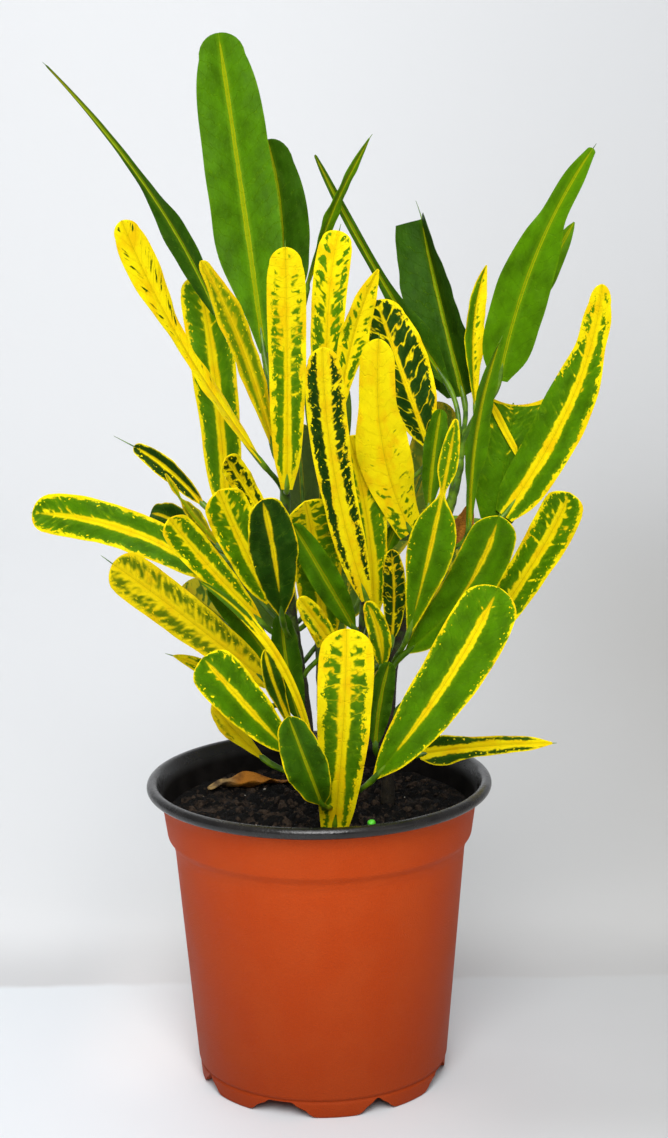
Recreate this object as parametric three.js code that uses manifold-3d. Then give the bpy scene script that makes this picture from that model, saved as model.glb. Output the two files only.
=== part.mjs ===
// A potted croton: a variegated leafy house plant in a round thin-walled nursery pot.
// Millimetres, +Z up. The pot's axis is Z, its foot stands on z = 0 and the plant's front looks toward -Y.
import * as THREE from "three";
import { mergeVertices } from "three/addons/utils/BufferGeometryUtils.js";
import Module from "manifold-3d";

const wasm = await Module();
wasm.setup();

// Pot
const POT_HEIGHT = 125.8;
const LIP_RADIUS = 70; // outside of the rolled lip
const LIP_ROLL = 2.3; // radius of the roll itself
const COLLAR_FOOT = 103; // height of the step under the collar
const COLLAR_RADIUS = 61.9; // at the step
const WALL_TOP_RADIUS = 59;
const WALL_FOOT_RADIUS = 51.5;
const FOOT_HEIGHT = 7;
const FOOT_RADIUS = 50.7;
const FOOT_RING = 3; // how thick the foot ring is
const WALL = 1.4;
const POT_SIDES = 40;
const NOTCH_PITCH = 90; // degrees between like notches in the foot
const WIDE_NOTCH = { at: -20, width: 14, flare: 3 };
const NARROW_NOTCH = { at: 25, width: 4, flare: 2 };
const DRAIN_HOLE = { radius: 3.5, ring: 41 };

// Soil
const SOIL_LEVEL = 112;
const SOIL_GAP = 0.4; // soil to pot, and soil to stem
const SOIL_SIDES = 30;
const CRUMB = 0.9; // height of the bumps on top

// Plant
const BLADE_THICKNESS = 0.8;
const PETIOLE_RADIUS = 1.2;
const STEM_RADIUS = 2.8;
const STEM_ROOT = 94; // where a stem ends in the soil
const STATIONS = [0, 0.1, 0.24, 0.4, 0.56, 0.72, 0.86, 0.95, 1]; // along a blade

// Leaves and stems are laid out as they are seen from the front: x and z are read in the upright plane through
// the pot's axis, and the line of sight from EYE through that spot is followed to the depth y.
const EYE = new THREE.Vector3(0, -860, 386);

// Half widths along a blade as shares of its widest, from the petiole (0) to the tip (1).
const SHAPES = {
  strap: [[0, 0.1], [0.12, 0.5], [0.35, 0.85], [0.68, 1], [0.87, 0.95], [0.95, 0.76], [1, 0.34]],
  plank: [[0, 0.7], [0.14, 0.8], [0.35, 0.92], [0.6, 1], [0.88, 0.98], [0.95, 0.78], [1, 0.36]],
  tab: [[0, 0.3], [0.14, 0.72], [0.35, 0.92], [0.6, 1], [0.88, 0.98], [0.95, 0.78], [1, 0.36]],
  paddle: [[0, 0.08], [0.2, 0.32], [0.42, 0.62], [0.72, 1], [0.88, 0.92], [0.95, 0.7], [1, 0.3]],
  oval: [[0, 0.12], [0.15, 0.6], [0.45, 1], [0.7, 0.95], [0.87, 0.74], [0.95, 0.5], [1, 0.2]],
  slender: [[0, 0.1], [0.2, 0.6], [0.45, 0.95], [0.65, 1], [0.82, 0.72], [0.93, 0.5], [0.98, 0.38], [1, 0.2]],
  spear: [[0, 0.12], [0.2, 0.55], [0.45, 1], [0.75, 0.75], [0.92, 0.35], [1, 0.06]],
  lance: [[0, 0.3], [0.1, 0.8], [0.22, 1], [0.34, 0.82], [0.46, 0.69], [0.7, 0.56], [0.86, 0.44], [1, 0.06]],
  whip: [[0, 0.35], [0.12, 0.85], [0.25, 1], [0.36, 0.88], [0.48, 0.52], [0.62, 0.28], [0.8, 0.18], [1, 0.06]],
  tail: [[0, 0.25], [0.1, 0.8], [0.2, 1], [0.32, 0.58], [0.46, 0.36], [0.75, 0.3], [0.92, 0.2], [1, 0.08]],
  band: [[0, 0.12], [0.1, 0.38], [0.18, 0.66], [0.26, 0.9], [0.36, 1], [0.6, 0.96], [0.8, 0.87], [0.93, 0.6], [1, 0.2]],
  flared: [[0, 0.4], [0.08, 0.8], [0.2, 0.95], [0.43, 1], [0.57, 0.88], [0.72, 0.58], [0.86, 0.53], [1, 0.2]],
  taper: [[0, 0.3], [0.1, 0.85], [0.26, 1], [0.44, 0.94], [0.58, 0.72], [0.68, 0.48], [0.86, 0.38], [1, 0.14]],
  waisted: [[0, 0.2], [0.14, 0.7], [0.3, 0.8], [0.44, 0.45], [0.55, 0.6], [0.7, 0.95], [0.88, 1], [0.96, 0.74], [1, 0.3]],
  broken: [[0, 0.1], [0.2, 0.6], [0.42, 1], [0.56, 0.75], [0.66, 0.14], [0.78, 0.4], [0.92, 0.3], [1, 0.1]],
  shouldered: [[0, 0.5], [0.2, 0.72], [0.36, 0.98], [0.54, 1], [0.7, 0.72], [0.85, 0.66], [0.97, 0.58], [1, 0.3]],
  cut: [[0, 0.5], [0.14, 0.95], [0.4, 1], [0.7, 0.95], [0.9, 0.86], [1, 0.74]],
  web: [[0, 0.45], [0.2, 0.75], [0.5, 0.95], [0.8, 1], [1, 0.95]],
  ribbon: [[0, 0.5], [0.3, 0.8], [0.6, 1], [0.85, 0.9], [1, 0.3]],
};

// Stem centre lines, and each stem's leaves:
// [height of the joint on the stem, shape, base, middle, tip, width, way it faces, fold]
// The way it faces is in degrees from the front (0) toward +X (90), or at the foot and at the tip of a twisted
// leaf; the fold lifts both halves, in degrees.
const STEMS = {
  left: {
    line: [[-2, 8, 112], [-6, 8, 158], [-11, 10, 200], [-12, 10, 252]],
    leaves: [
      [248, "whip", [-37, 18, 314], [-63, 34, 363], [-100, 50, 409], 12, -50, 12],
      [236, "waisted", [-21, -2, 255], [-51, -14, 302], [-73, -34, 350], 13, [80, 0], 8],
      [225, "tab", [-35, 24, 232], [-38, 36, 286], [-44, 44, 329], 19, -5, 12],
      [240, "slender", [-16, 4, 260], [-28, -6, 301], [-43, -20, 334], 12, 20, 12],
      [250, "band", [-19, 24, 298], [-27, 44, 365], [-34, 56, 420], 29, 0, 12],
      [246, "oval", [-17, 34, 300], [-11, 52, 338], [-16, 64, 380], 25, -10, 16],
      [238, "tab", [-11, -4, 244], [-10, -14, 291], [-10, -28, 339], 15, 0, 10],
      [252, "spear", [-2, 26, 322], [8, 18, 352], [23, 10, 380], 7, 50, 12],
      [190, "tab", [-41, 10, 209], [-74, 18, 228], [-112, 30, 236], 18, 0, 10],
      [165, "strap", [-22, -8, 190], [-44, -15, 215], [-58, -26, 233], 14, -5, 16],
      [175, "tab", [-18, -6, 199], [-30, -14, 224], [-38, -24, 244], 18, 5, 12],
      [212, "strap", [-17, 4, 228], [-28, 2, 246], [-35, -6, 257], 10, 0, 12],
      [165, "oval", [-14, -22, 193], [-17, -41, 220], [-21, -56, 240], 19, 5, 8],
      [140, "tab", [-20, -4, 165], [-53, -17, 193], [-81, -30, 215], 18, -5, 8],
      [225, "oval", [-44, 16, 238], [-57, 18, 252], [-71, 20, 262], 9, -35, 24],
      [212, "spear", [-38, 8, 221], [-50, 10, 236], [-57, 12, 249], 5, 30, 20],
      [205, "oval", [-41, 24, 219], [-55, 34, 231], [-65, 44, 235], 13, 0, 12],
      [150, "spear", [-26, 2, 157], [-43, 3, 170], [-58, 4, 177], 7, 0, 12],
      [126, "ribbon", [-2, -18, 134], [-17, -26, 177], [-46, -20, 207], 4, -10, 10],
      [126, "spear", [-10, -20, 144], [-18, -30, 166], [-21, -32, 179], 8, 10, 12],
      [160, "tab", [3, 0, 180], [0, -12, 215], [-4, -26, 239], 20, 5, 10],
      [145, "oval", [-17, 6, 171], [-29, 4, 190], [-43, -2, 205], 11, -10, 12],
      [132, "oval", [-7, -4, 149], [-12, -6, 170], [-14, -10, 194], 12, 5, 12],
    ],
  },
  centre: {
    line: [[14, 16, 112], [18, 14, 166], [20, 14, 200], [20, 14, 228]],
    leaves: [
      [222, "tab", [6, 10, 262], [6, 12, 310], [11, 14, 345], 14, 0, 10],
      [224, "spear", [10, 3, 272], [16, 0, 304], [26, -6, 330], 12, 20, 12],
      [216, "shouldered", [38, -4, 226], [27, -18, 261], [26, -34, 303], 21, -5, 10],
      [226, "oval", [45, 12, 260], [35, 16, 289], [25, 20, 318], 24, 10, 12],
      [170, "tab", [20, -12, 199], [8, -34, 249], [4, -56, 300], 15, 3, 12],
      [165, "strap", [23, 0, 190], [21, -8, 228], [14, -18, 265], 16, 12, 14],
      [195, "spear", [27, 2, 216], [30, 1, 224], [34, 0, 231], 7, 10, 14],
      [150, "oval", [30, -4, 182], [31, -8, 201], [30, -14, 219], 10, 5, 14],
      [140, "oval", [26, -10, 171], [25, -18, 184], [20, -26, 198], 9, 0, 12],
      [160, "oval", [15, -8, 187], [4, -22, 207], [-9, -37, 230], 12, -8, 14],
      [150, "oval", [8, -12, 178], [0, -24, 190], [-7, -34, 200], 9, -5, 12],
    ],
  },
  right: {
    line: [[28, 4, 112], [31, 5, 174], [42, 8, 204], [54, 10, 234], [59, 11, 256]],
    leaves: [
      [250, "tail", [52, 20, 286], [25, 25, 330], [2, 28, 374], 13, -20, 14],
      [252, "cut", [59, 30, 280], [51, 41, 313], [43, 52, 349], 30, [-20, -60], 38],
      [246, "spear", [64, 14, 274], [63, 18, 306], [68, 22, 331], 9, 20, 20],
      [254, "taper", [73, 6, 286], [87, 0, 334], [109, -6, 375], 22, 5, 12],
      [244, "spear", [80, 18, 300], [92, 26, 328], [102, 32, 347], 9, 0, 12],
      [226, "flared", [75, 16, 232], [102, 14, 279], [113, 5, 323], 21, -5, 10],
      [null, "web", [72, 17, 230], [76, 19, 256], [79, 22, 281], 29, -5, 6],
      [null, "ribbon", [83, 17, 252], [77, 19, 263], [69, 20, 279], 3, -5, 6],
      [206, "spear", [61, -4, 226], [64, -12, 267], [73, -24, 301], 12, 35, 20],
      [160, "broken", [38, -14, 185], [49, -31, 227], [56, -48, 271], 21, 0, 12],
      [198, "oval", [45, 5, 235], [47, 6, 256], [50, 7, 275], 10, 10, 20],
      [205, "spear", [54, 2, 219], [58, 1, 228], [61, 0, 236], 5, 30, 20],
      [150, "strap", [36, -8, 177], [59, -22, 201], [73, -36, 232], 20, 5, 12],
      [140, "tab", [60, -2, 174], [87, -12, 213], [101, -24, 241], 17, -5, 10],
      [122, "lance", [41, 6, 134], [66, 2, 137], [95, -4, 138], 13, 0, 14],
      [124, "oval", [23, -14, 138], [25, -16, 156], [29, -20, 173], 10, 5, 12],
    ],
  },
  front: {
    line: [[8, -27, 112], [8, -28, 120], [8, -29, 127]],
    leaves: [
      [114, "strap", [23, -40, 125], [51, -54, 163], [73, -61, 203], 24, 3, 8],
      [116, "plank", [6, -34, 104], [10, -50, 145], [12, -61, 187], 21, 2, 7],
      [122, "strap", [-12, -40, 136], [-31, -50, 158], [-46, -56, 176], 19, -4, 8],
      [116, "oval", [1, -47, 114], [-5, -58, 131], [-12, -64, 151], 18, -10, 24],
      [120, "spear", [-22, -30, 133], [-36, -32, 148], [-42, -32, 158], 9, -20, 12],
    ],
  },
  back: {
    line: [[2, 34, 112], [2, 36, 150], [0, 40, 214]],
    leaves: [
      [192, "strap", [12, 46, 190], [27, 58, 225], [34, 65, 262], 20, 165, 10],
      [190, "strap", [-9, 48, 190], [-20, 60, 215], [-31, 66, 240], 19, 195, 10],
      [212, "paddle", [2, 48, 215], [6, 60, 255], [4, 66, 298], 20, 180, 12],
      [170, "strap", [16, 44, 172], [42, 54, 197], [63, 62, 222], 19, 150, 10],
      [168, "strap", [-12, 44, 170], [-36, 54, 190], [-54, 60, 205], 18, 210, 10],
      [140, "strap", [8, 50, 150], [15, 62, 166], [23, 68, 188], 18, 175, 12],
      [206, "strap", [22, 46, 208], [40, 52, 242], [50, 57, 278], 18, 160, 10],
      [204, "strap", [-5, 46, 207], [-5, 54, 243], [-7, 60, 270], 17, 190, 10],
      [184, "strap", [-10, 38, 186], [-28, 44, 207], [-37, 50, 230], 17, 215, 10],
      [160, "strap", [4, 52, 176], [6, 64, 198], [8, 68, 228], 19, 182, 10],
    ],
  },
};

// A dry leaf lies on the soil, from its stalk end to its tip.
const FALLEN = { base: [-12, 33], mid: [-30, 28], tip: [-47, 26], width: 12, curl: 3 };

// A three.js geometry as a solid that can be joined and cut.
function solid(geometry) {
  const bare = geometry.index ? geometry.toNonIndexed() : geometry;
  for (const name of Object.keys(bare.attributes)) {
    if (name !== "position") bare.deleteAttribute(name);
  }
  const merged = mergeVertices(bare, 1e-3);
  return new wasm.Manifold(
    new wasm.Mesh({
      numProp: 3,
      vertProperties: merged.attributes.position.array,
      triVerts: new Uint32Array(merged.index.array),
    }),
  );
}

// A solid as a named mesh with its own material.
function piece(name, shape, color, roughness) {
  const { vertProperties, triVerts } = shape.getMesh();
  const geometry = new THREE.BufferGeometry();
  geometry.setAttribute("position", new THREE.BufferAttribute(vertProperties, 3));
  geometry.setIndex(new THREE.BufferAttribute(triVerts, 1));
  geometry.computeVertexNormals();
  const mesh = new THREE.Mesh(geometry, new THREE.MeshStandardMaterial({ color, roughness, metalness: 0 }));
  mesh.name = name;
  return mesh;
}

// A profile of [radius, height] points turned about Z.
function turned(profile, sides) {
  const points = profile.map(([r, z]) => new THREE.Vector2(r, z));
  return new THREE.LatheGeometry(points, sides).rotateX(Math.PI / 2);
}

// An upright round pin from one height to another.
function pin(radius, low, high, x, y, sides = 10) {
  return solid(
    new THREE.CylinderGeometry(radius, radius, high - low, sides)
      .rotateX(Math.PI / 2)
      .translate(x, y, (low + high) / 2),
  );
}

// A round bar along a curve.
function bar(curve, radius, sides, steps) {
  const section = new THREE.Shape();
  for (let i = 0; i < sides; i++) {
    const a = (2 * Math.PI * i) / sides;
    section[i ? "lineTo" : "moveTo"](radius * Math.cos(a), radius * Math.sin(a));
  }
  section.closePath();
  return solid(new THREE.ExtrudeGeometry(section, { steps, extrudePath: curve }));
}

// A spot seen at x, z in the axis plane, moved along its line of sight to the depth y.
function spot([x, y, z]) {
  const share = 1 - y / EYE.y;
  return new THREE.Vector3(x * share, y, EYE.z + (z - EYE.z) * share);
}

// A smooth curve through [t, value] pairs.
function smooth(pairs, t) {
  let i = 0;
  while (i < pairs.length - 2 && t > pairs[i + 1][0]) i++;
  const slope = (j) => {
    const [a, b] = [pairs[Math.max(j - 1, 0)], pairs[Math.min(j + 1, pairs.length - 1)]];
    return (b[1] - a[1]) / (b[0] - a[0]);
  };
  const [[t0, v0], [t1, v1]] = [pairs[i], pairs[i + 1]];
  const step = t1 - t0;
  const u = (t - t0) / step;
  return (
    v0 * (1 + 2 * u) * (1 - u) ** 2 +
    v1 * u * u * (3 - 2 * u) +
    slope(i) * step * u * (1 - u) ** 2 -
    slope(i + 1) * step * u * u * (1 - u)
  );
}

// The quadratic curve from base to tip that passes through mid halfway.
function arch(base, mid, tip) {
  const control = mid.clone().multiplyScalar(2).addScaledVector(base, -0.5).addScaledVector(tip, -0.5);
  return new THREE.QuadraticBezierCurve3(base, control, tip);
}

// A closed sheet from rows of three [point, normal] pairs, BLADE_THICKNESS thick.
// Both faces are split into the same triangles, so that a waved sheet keeps its thickness.
function sheet(rows) {
  const positions = [];
  for (const row of rows) {
    for (const [point, normal] of row) {
      for (const side of [0.5, -0.5]) {
        positions.push(...point.clone().addScaledVector(normal, side * BLADE_THICKNESS).toArray());
      }
    }
  }
  const index = [];
  const id = (row, column, face) => (row * 3 + column) * 2 + face;
  const quad = (a, b, c, d) => index.push(a, b, c, a, c, d);
  const last = rows.length - 1;
  for (let i = 0; i < last; i++) {
    for (let j = 0; j < 2; j++) {
      quad(id(i, j, 0), id(i, j + 1, 0), id(i + 1, j + 1, 0), id(i + 1, j, 0));
      index.push(id(i, j, 1), id(i + 1, j + 1, 1), id(i, j + 1, 1));
      index.push(id(i, j, 1), id(i + 1, j, 1), id(i + 1, j + 1, 1));
    }
    quad(id(i, 0, 1), id(i, 0, 0), id(i + 1, 0, 0), id(i + 1, 0, 1));
    quad(id(i, 2, 0), id(i, 2, 1), id(i + 1, 2, 1), id(i + 1, 2, 0));
  }
  for (let j = 0; j < 2; j++) {
    quad(id(0, j, 0), id(0, j, 1), id(0, j + 1, 1), id(0, j + 1, 0));
    quad(id(last, j, 0), id(last, j + 1, 0), id(last, j + 1, 1), id(last, j, 1));
  }
  const geometry = new THREE.BufferGeometry();
  geometry.setAttribute("position", new THREE.Float32BufferAttribute(positions, 3));
  geometry.setIndex(index);
  return solid(geometry);
}

const FACE_LIFT = THREE.MathUtils.degToRad(25); // upper faces look up this much
const WAVE = { height: 0.9, count: 2.5 };

// A leaf's blade, folded up along its midrib and waved along its edges.
function blade([, shape, base, mid, tip, width, facing, fold], number) {
  const spine = arch(spot(base), spot(mid), spot(tip));
  const [atFoot, atTip = atFoot] = [facing].flat();
  const lift = THREE.MathUtils.degToRad(fold);
  const rows = STATIONS.map((t) => {
    const turn = THREE.MathUtils.degToRad(THREE.MathUtils.lerp(atFoot, atTip, t));
    const upper = new THREE.Vector3(
      Math.sin(turn) * Math.cos(FACE_LIFT),
      -Math.cos(turn) * Math.cos(FACE_LIFT),
      Math.sin(FACE_LIFT),
    );
    const along = spine.getTangent(t);
    const across = new THREE.Vector3().crossVectors(along, upper).normalize();
    const normal = new THREE.Vector3().crossVectors(across, along);
    const half = (width / 2) * smooth(SHAPES[shape], t);
    return [-1, 0, 1].map((side) => {
      const wave = side * Math.sin(2 * Math.PI * WAVE.count * t + number) * WAVE.height * Math.sin(Math.PI * t);
      const point = spine
        .getPoint(t)
        .addScaledVector(across, side * half * Math.cos(lift))
        .addScaledVector(normal, Math.abs(side) * (half * Math.sin(lift) + wave * Math.min(1, half / 5)));
      return [point, normal];
    });
  });
  return { shape: sheet(rows), spine };
}

// The stalk from the stem to just past the foot of the blade.
function petiole(from, spine) {
  const to = spine.getPoint(0).addScaledVector(spine.getTangent(0), PETIOLE_RADIUS);
  const reach = from.distanceTo(to) * 0.4;
  const leaving = from.clone().add(new THREE.Vector3(0, 0, reach));
  const arriving = to.clone().addScaledVector(spine.getTangent(0), -reach);
  return bar(new THREE.CubicBezierCurve3(from, leaving, arriving, to), PETIOLE_RADIUS, 5, 3);
}

// A point of a stem's centre line at a height.
function atHeight(curve, height) {
  let best = curve.getPoint(0);
  for (let i = 1; i <= 60; i++) {
    const next = curve.getPoint(i / 60);
    if (Math.abs(next.z - height) < Math.abs(best.z - height)) best = next;
  }
  return best;
}

function leafyStem(name, { line, leaves }) {
  const [x, y] = line[0];
  const curve = new THREE.CatmullRomCurve3([
    new THREE.Vector3(x, y, STEM_ROOT),
    new THREE.Vector3(x, y, SOIL_LEVEL - 6),
    ...line.map((p) => new THREE.Vector3(...p)),
  ]);
  let whole = bar(curve, STEM_RADIUS, 8, 9);
  leaves.forEach((leaf, number) => {
    const { shape, spine } = blade(leaf, number);
    whole = whole.add(shape);
    if (leaf[0] !== null) whole = whole.add(petiole(atHeight(curve, leaf[0]), spine));
  });
  return piece("leafy_stem_" + name, whole, 0x6f9a1c, 0.4);
}

// A notch through the foot ring, wider at the bottom.
function notch({ width, flare }, azimuth) {
  const [low, high] = [width / 2 + flare / 2, width / 2 - flare / 2];
  const outline = new THREE.Shape([
    new THREE.Vector2(-low, -1),
    new THREE.Vector2(low, -1),
    new THREE.Vector2(high, FOOT_HEIGHT - 0.6),
    new THREE.Vector2(-high, FOOT_HEIGHT - 0.6),
  ]);
  return solid(
    new THREE.ExtrudeGeometry(outline, { depth: 3 * FOOT_RING, bevelEnabled: false })
      .rotateX(Math.PI / 2)
      .translate(0, -(FOOT_RADIUS - 2 * FOOT_RING), 0)
      .rotateZ(THREE.MathUtils.degToRad(azimuth)),
  );
}

function pot() {
  const roll = [LIP_RADIUS - LIP_ROLL, POT_HEIGHT - LIP_ROLL];
  const lip = [-140, -70, -20, 30, 85, 150].map((degrees) => {
    const a = THREE.MathUtils.degToRad(degrees);
    return [roll[0] + LIP_ROLL * Math.cos(a), roll[1] + LIP_ROLL * Math.sin(a)];
  });
  const ringInside = FOOT_RADIUS - FOOT_RING;
  const profile = [
    [0, FOOT_HEIGHT],
    [ringInside, FOOT_HEIGHT],
    [ringInside, 0],
    [FOOT_RADIUS - 0.3, 0],
    [FOOT_RADIUS + 0.2, FOOT_HEIGHT - 0.6],
    [FOOT_RADIUS - 0.2, FOOT_HEIGHT],
    [WALL_FOOT_RADIUS, FOOT_HEIGHT + 1.2],
    [WALL_TOP_RADIUS, COLLAR_FOOT - 6],
    [WALL_TOP_RADIUS + 0.9, COLLAR_FOOT - 2.4],
    [COLLAR_RADIUS, COLLAR_FOOT + 0.4],
    [COLLAR_RADIUS + 1.8, POT_HEIGHT - 9.5],
    [COLLAR_RADIUS + 2.6, POT_HEIGHT - 7],
    ...lip,
    [COLLAR_RADIUS + 1.2, POT_HEIGHT - 7],
    [COLLAR_RADIUS - 0.9, COLLAR_FOOT + 2.6],
    [WALL_TOP_RADIUS - 0.6, COLLAR_FOOT - 2],
    [WALL_TOP_RADIUS - WALL, COLLAR_FOOT - 6],
    [WALL_FOOT_RADIUS - WALL, FOOT_HEIGHT + WALL],
    [0, FOOT_HEIGHT + WALL],
  ];
  let shape = solid(turned(profile, POT_SIDES));
  for (let i = 0; i < 360 / NOTCH_PITCH; i++) {
    for (const cut of [WIDE_NOTCH, NARROW_NOTCH]) {
      const azimuth = cut.at + i * NOTCH_PITCH;
      const a = THREE.MathUtils.degToRad(azimuth);
      const { radius, ring } = DRAIN_HOLE;
      shape = shape.subtract(notch(cut, azimuth));
      shape = shape.subtract(
        pin(radius, FOOT_HEIGHT - 1, FOOT_HEIGHT + WALL + 1, ring * Math.sin(a), -ring * Math.cos(a)),
      );
    }
  }
  return piece("pot", shape, 0xb8481f, 0.7);
}

// Height of the soil: a low mound with crumbs.
function soilTop(x, y) {
  const mound = 1.5 * Math.exp(-((x + 10) ** 2 + y ** 2) / 900);
  return SOIL_LEVEL + mound + CRUMB * Math.sin(0.31 * x + 1) * Math.cos(0.27 * y) + 0.4 * Math.sin(0.7 * y + 0.5 * x);
}

function soil() {
  const edge = COLLAR_RADIUS + 0.1 - SOIL_GAP;
  const rings = [0.8, 0.56, 0.3].map((share) => [share * edge, SOIL_LEVEL]);
  const profile = [
    [0, FOOT_HEIGHT + WALL + SOIL_GAP],
    [WALL_FOOT_RADIUS - WALL - SOIL_GAP, FOOT_HEIGHT + WALL + SOIL_GAP],
    [WALL_TOP_RADIUS - WALL - SOIL_GAP, COLLAR_FOOT - 6],
    [WALL_TOP_RADIUS - 0.6 - SOIL_GAP, COLLAR_FOOT - 1.6],
    [COLLAR_RADIUS - 1 - SOIL_GAP, COLLAR_FOOT + 3.2],
    [edge, SOIL_LEVEL],
    ...rings,
    [0, SOIL_LEVEL],
  ];
  const geometry = turned(profile, SOIL_SIDES);
  const { position } = geometry.attributes;
  for (let i = 0; i < position.count; i++) {
    const [x, y, z] = [position.getX(i), position.getY(i), position.getZ(i)];
    if (Math.abs(z - SOIL_LEVEL) < 0.01 && Math.hypot(x, y) < edge - 0.1) position.setZ(i, soilTop(x, y));
  }
  let shape = solid(geometry);
  for (const { line } of Object.values(STEMS)) {
    const [x, y] = line[0];
    shape = shape.subtract(pin(STEM_RADIUS + SOIL_GAP, STEM_ROOT - SOIL_GAP, SOIL_LEVEL + 9, x, y, 12));
  }
  return piece("soil", shape, 0x2a211c, 0.95);
}

function fallenLeaf() {
  const { base, mid, tip, width, curl } = FALLEN;
  const flat = ([x, y]) => new THREE.Vector3(x, y, 0);
  const spine = arch(flat(base), flat(mid), flat(tip));
  const up = new THREE.Vector3(0, 0, 1);
  const rows = STATIONS.map((t) => {
    const across = new THREE.Vector3().crossVectors(spine.getTangent(t), up).normalize();
    const half = (width / 2) * smooth(SHAPES.oval, t);
    return [-1, 0, 1].map((side) => {
      const point = spine.getPoint(t).addScaledVector(across, side * half);
      const lift = BLADE_THICKNESS / 2 + SOIL_GAP + 0.5 + curl * (side * half * 2 / width) ** 2;
      return [point.setZ(soilTop(point.x, point.y) + lift), up];
    });
  });
  return piece("fallen_leaf", sheet(rows), 0xb98a4a, 0.8);
}

const group = new THREE.Group();
group.add(pot(), soil(), fallenLeaf());
for (const [name, stem] of Object.entries(STEMS)) group.add(leafyStem(name, stem));

export default group;
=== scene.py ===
"""A potted croton: a nursery pot, its soil, a dry leaf and five leafy stems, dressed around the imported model.

It is laid out as an add-on and run as a script in Blender 4.5. The tables describe the plant in millimetres
and degrees. Settings, modifier inputs and objects are in metres, and every object stands at the origin.
"""
import math
from typing import NamedTuple

import bmesh
import bpy
import numpy as np
from bpy.props import FloatProperty, FloatVectorProperty, IntProperty, PointerProperty
from mathutils import Matrix, Vector, noise


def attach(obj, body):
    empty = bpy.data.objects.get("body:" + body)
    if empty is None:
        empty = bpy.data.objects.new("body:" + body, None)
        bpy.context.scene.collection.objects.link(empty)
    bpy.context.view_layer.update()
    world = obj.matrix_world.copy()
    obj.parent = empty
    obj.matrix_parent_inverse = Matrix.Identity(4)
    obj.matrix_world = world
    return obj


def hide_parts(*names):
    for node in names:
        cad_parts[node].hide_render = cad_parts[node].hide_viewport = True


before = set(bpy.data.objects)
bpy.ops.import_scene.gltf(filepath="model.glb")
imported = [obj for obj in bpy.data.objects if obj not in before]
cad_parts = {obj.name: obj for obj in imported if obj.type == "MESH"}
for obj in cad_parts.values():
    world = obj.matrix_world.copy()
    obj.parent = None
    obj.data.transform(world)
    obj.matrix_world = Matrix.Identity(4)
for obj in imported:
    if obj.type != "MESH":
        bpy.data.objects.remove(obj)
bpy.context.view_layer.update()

bl_info = {
    "name": "Potted croton",
    "version": (1, 0, 0),
    "blender": (4, 5, 0),
    "location": "3D View > Sidebar > Croton",
    "description": "Makes a variegated leafy plant in a two-colour nursery pot",
    "category": "Object",
}

MM = 0.001
BODY = "root"

# The pot.
POT_HEIGHT = 125.8
LIP_RADIUS = 70.0
LIP_ROLL = 2.3
COLLAR_FOOT = 103.0
COLLAR_RADIUS = 61.9
WALL_TOP_RADIUS = 59.0
WALL_FOOT_RADIUS = 51.5
SHOULDER = COLLAR_FOOT - 6  # where the wall begins to widen toward the collar
FOOT_HEIGHT = 7.0
FOOT_RADIUS = 50.7
FOOT_RING = 3.0
WALL = 1.4
EDGE_ROUNDING = 0.9
POT_SHARP_EDGE = math.radians(38)
NOTCH_PITCH = 90
WIDE_NOTCH = {"at": -20, "width": 14, "flare": 3}
NARROW_NOTCH = {"at": 25, "width": 4, "flare": 2}
DRAIN_HOLE = {"radius": 3.5, "ring": 41, "sides": 28}

# The soil.
SOIL_LEVEL = 112.0
SOIL_GAP = 0.4
SOIL_SIDES = 180
SOIL_WAVE = 0.9  # height of the broad waves on top
CLOD_REACH = 60.5  # distance from the axis at which the clods, crumbs and flecks end
CRUMB_REACH = 58.5
CRUMB_DETAIL = 2
FLECK_REACH = 56
CRUMBS_PER_FLECK = 60
BEAD = {"at": (20.5, -26.5), "radius": 1.7, "rise": 1.2, "height": 0.82}

# The stems and leaves.
STEM_RADIUS = 2.8
STEM_ROOT = 94.0
STEM_BEND = SOIL_LEVEL - 6  # up to here the stems are upright
STEM_STEPS = 60
PETIOLE_STEPS = 14
MIDRIB_STEPS = 18
STALK_SIDES = 10
FACE_LIFT = math.radians(25)  # how far up the blades face
TIP_ROUNDING = 0.14  # share of a blade's length that a round tip takes at most
POINT_ROUNDING = 0.015  # the same for a pointed tip
WAVE_HEIGHT = 0.9
WAVE_COUNT = 2.5  # waves along a blade
NIBBLE = 0.025  # how uneven a blade's edge is, as a share of its half width
PILLOW = 0.05  # how much each half of a blade bulges, likewise
FOLD_ROUNDING = 0.02  # how softly a blade folds along its midrib
WEB_DIP = 0.09  # how far a web's end sags between its sides, as a share of its length
CAP_WIDTH = 30  # a margin so wide that the whole end is yellow
SHARP_EDGE = math.radians(65)
FALLEN = {"base": (-12, 33), "mid": (-30, 28), "tip": (-47, 26), "width": 12, "curl": 3, "thickness": 0.36}

# In metres: the sizes of crumbs and flecks, how far up the pot's painted shade reaches, where the shine of its
# lip begins and is full, and how far behind the plant the floor meets the sweep.
CRUMB_SMALLEST = 0.0003
FLECK_LARGEST = 0.0008
POT_PAINTED_SHADE_TOP = 0.1
SHINE_FROM, SHINE_TO = 0.118, 0.1225
FLOOR_LINE = 0.093

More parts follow.
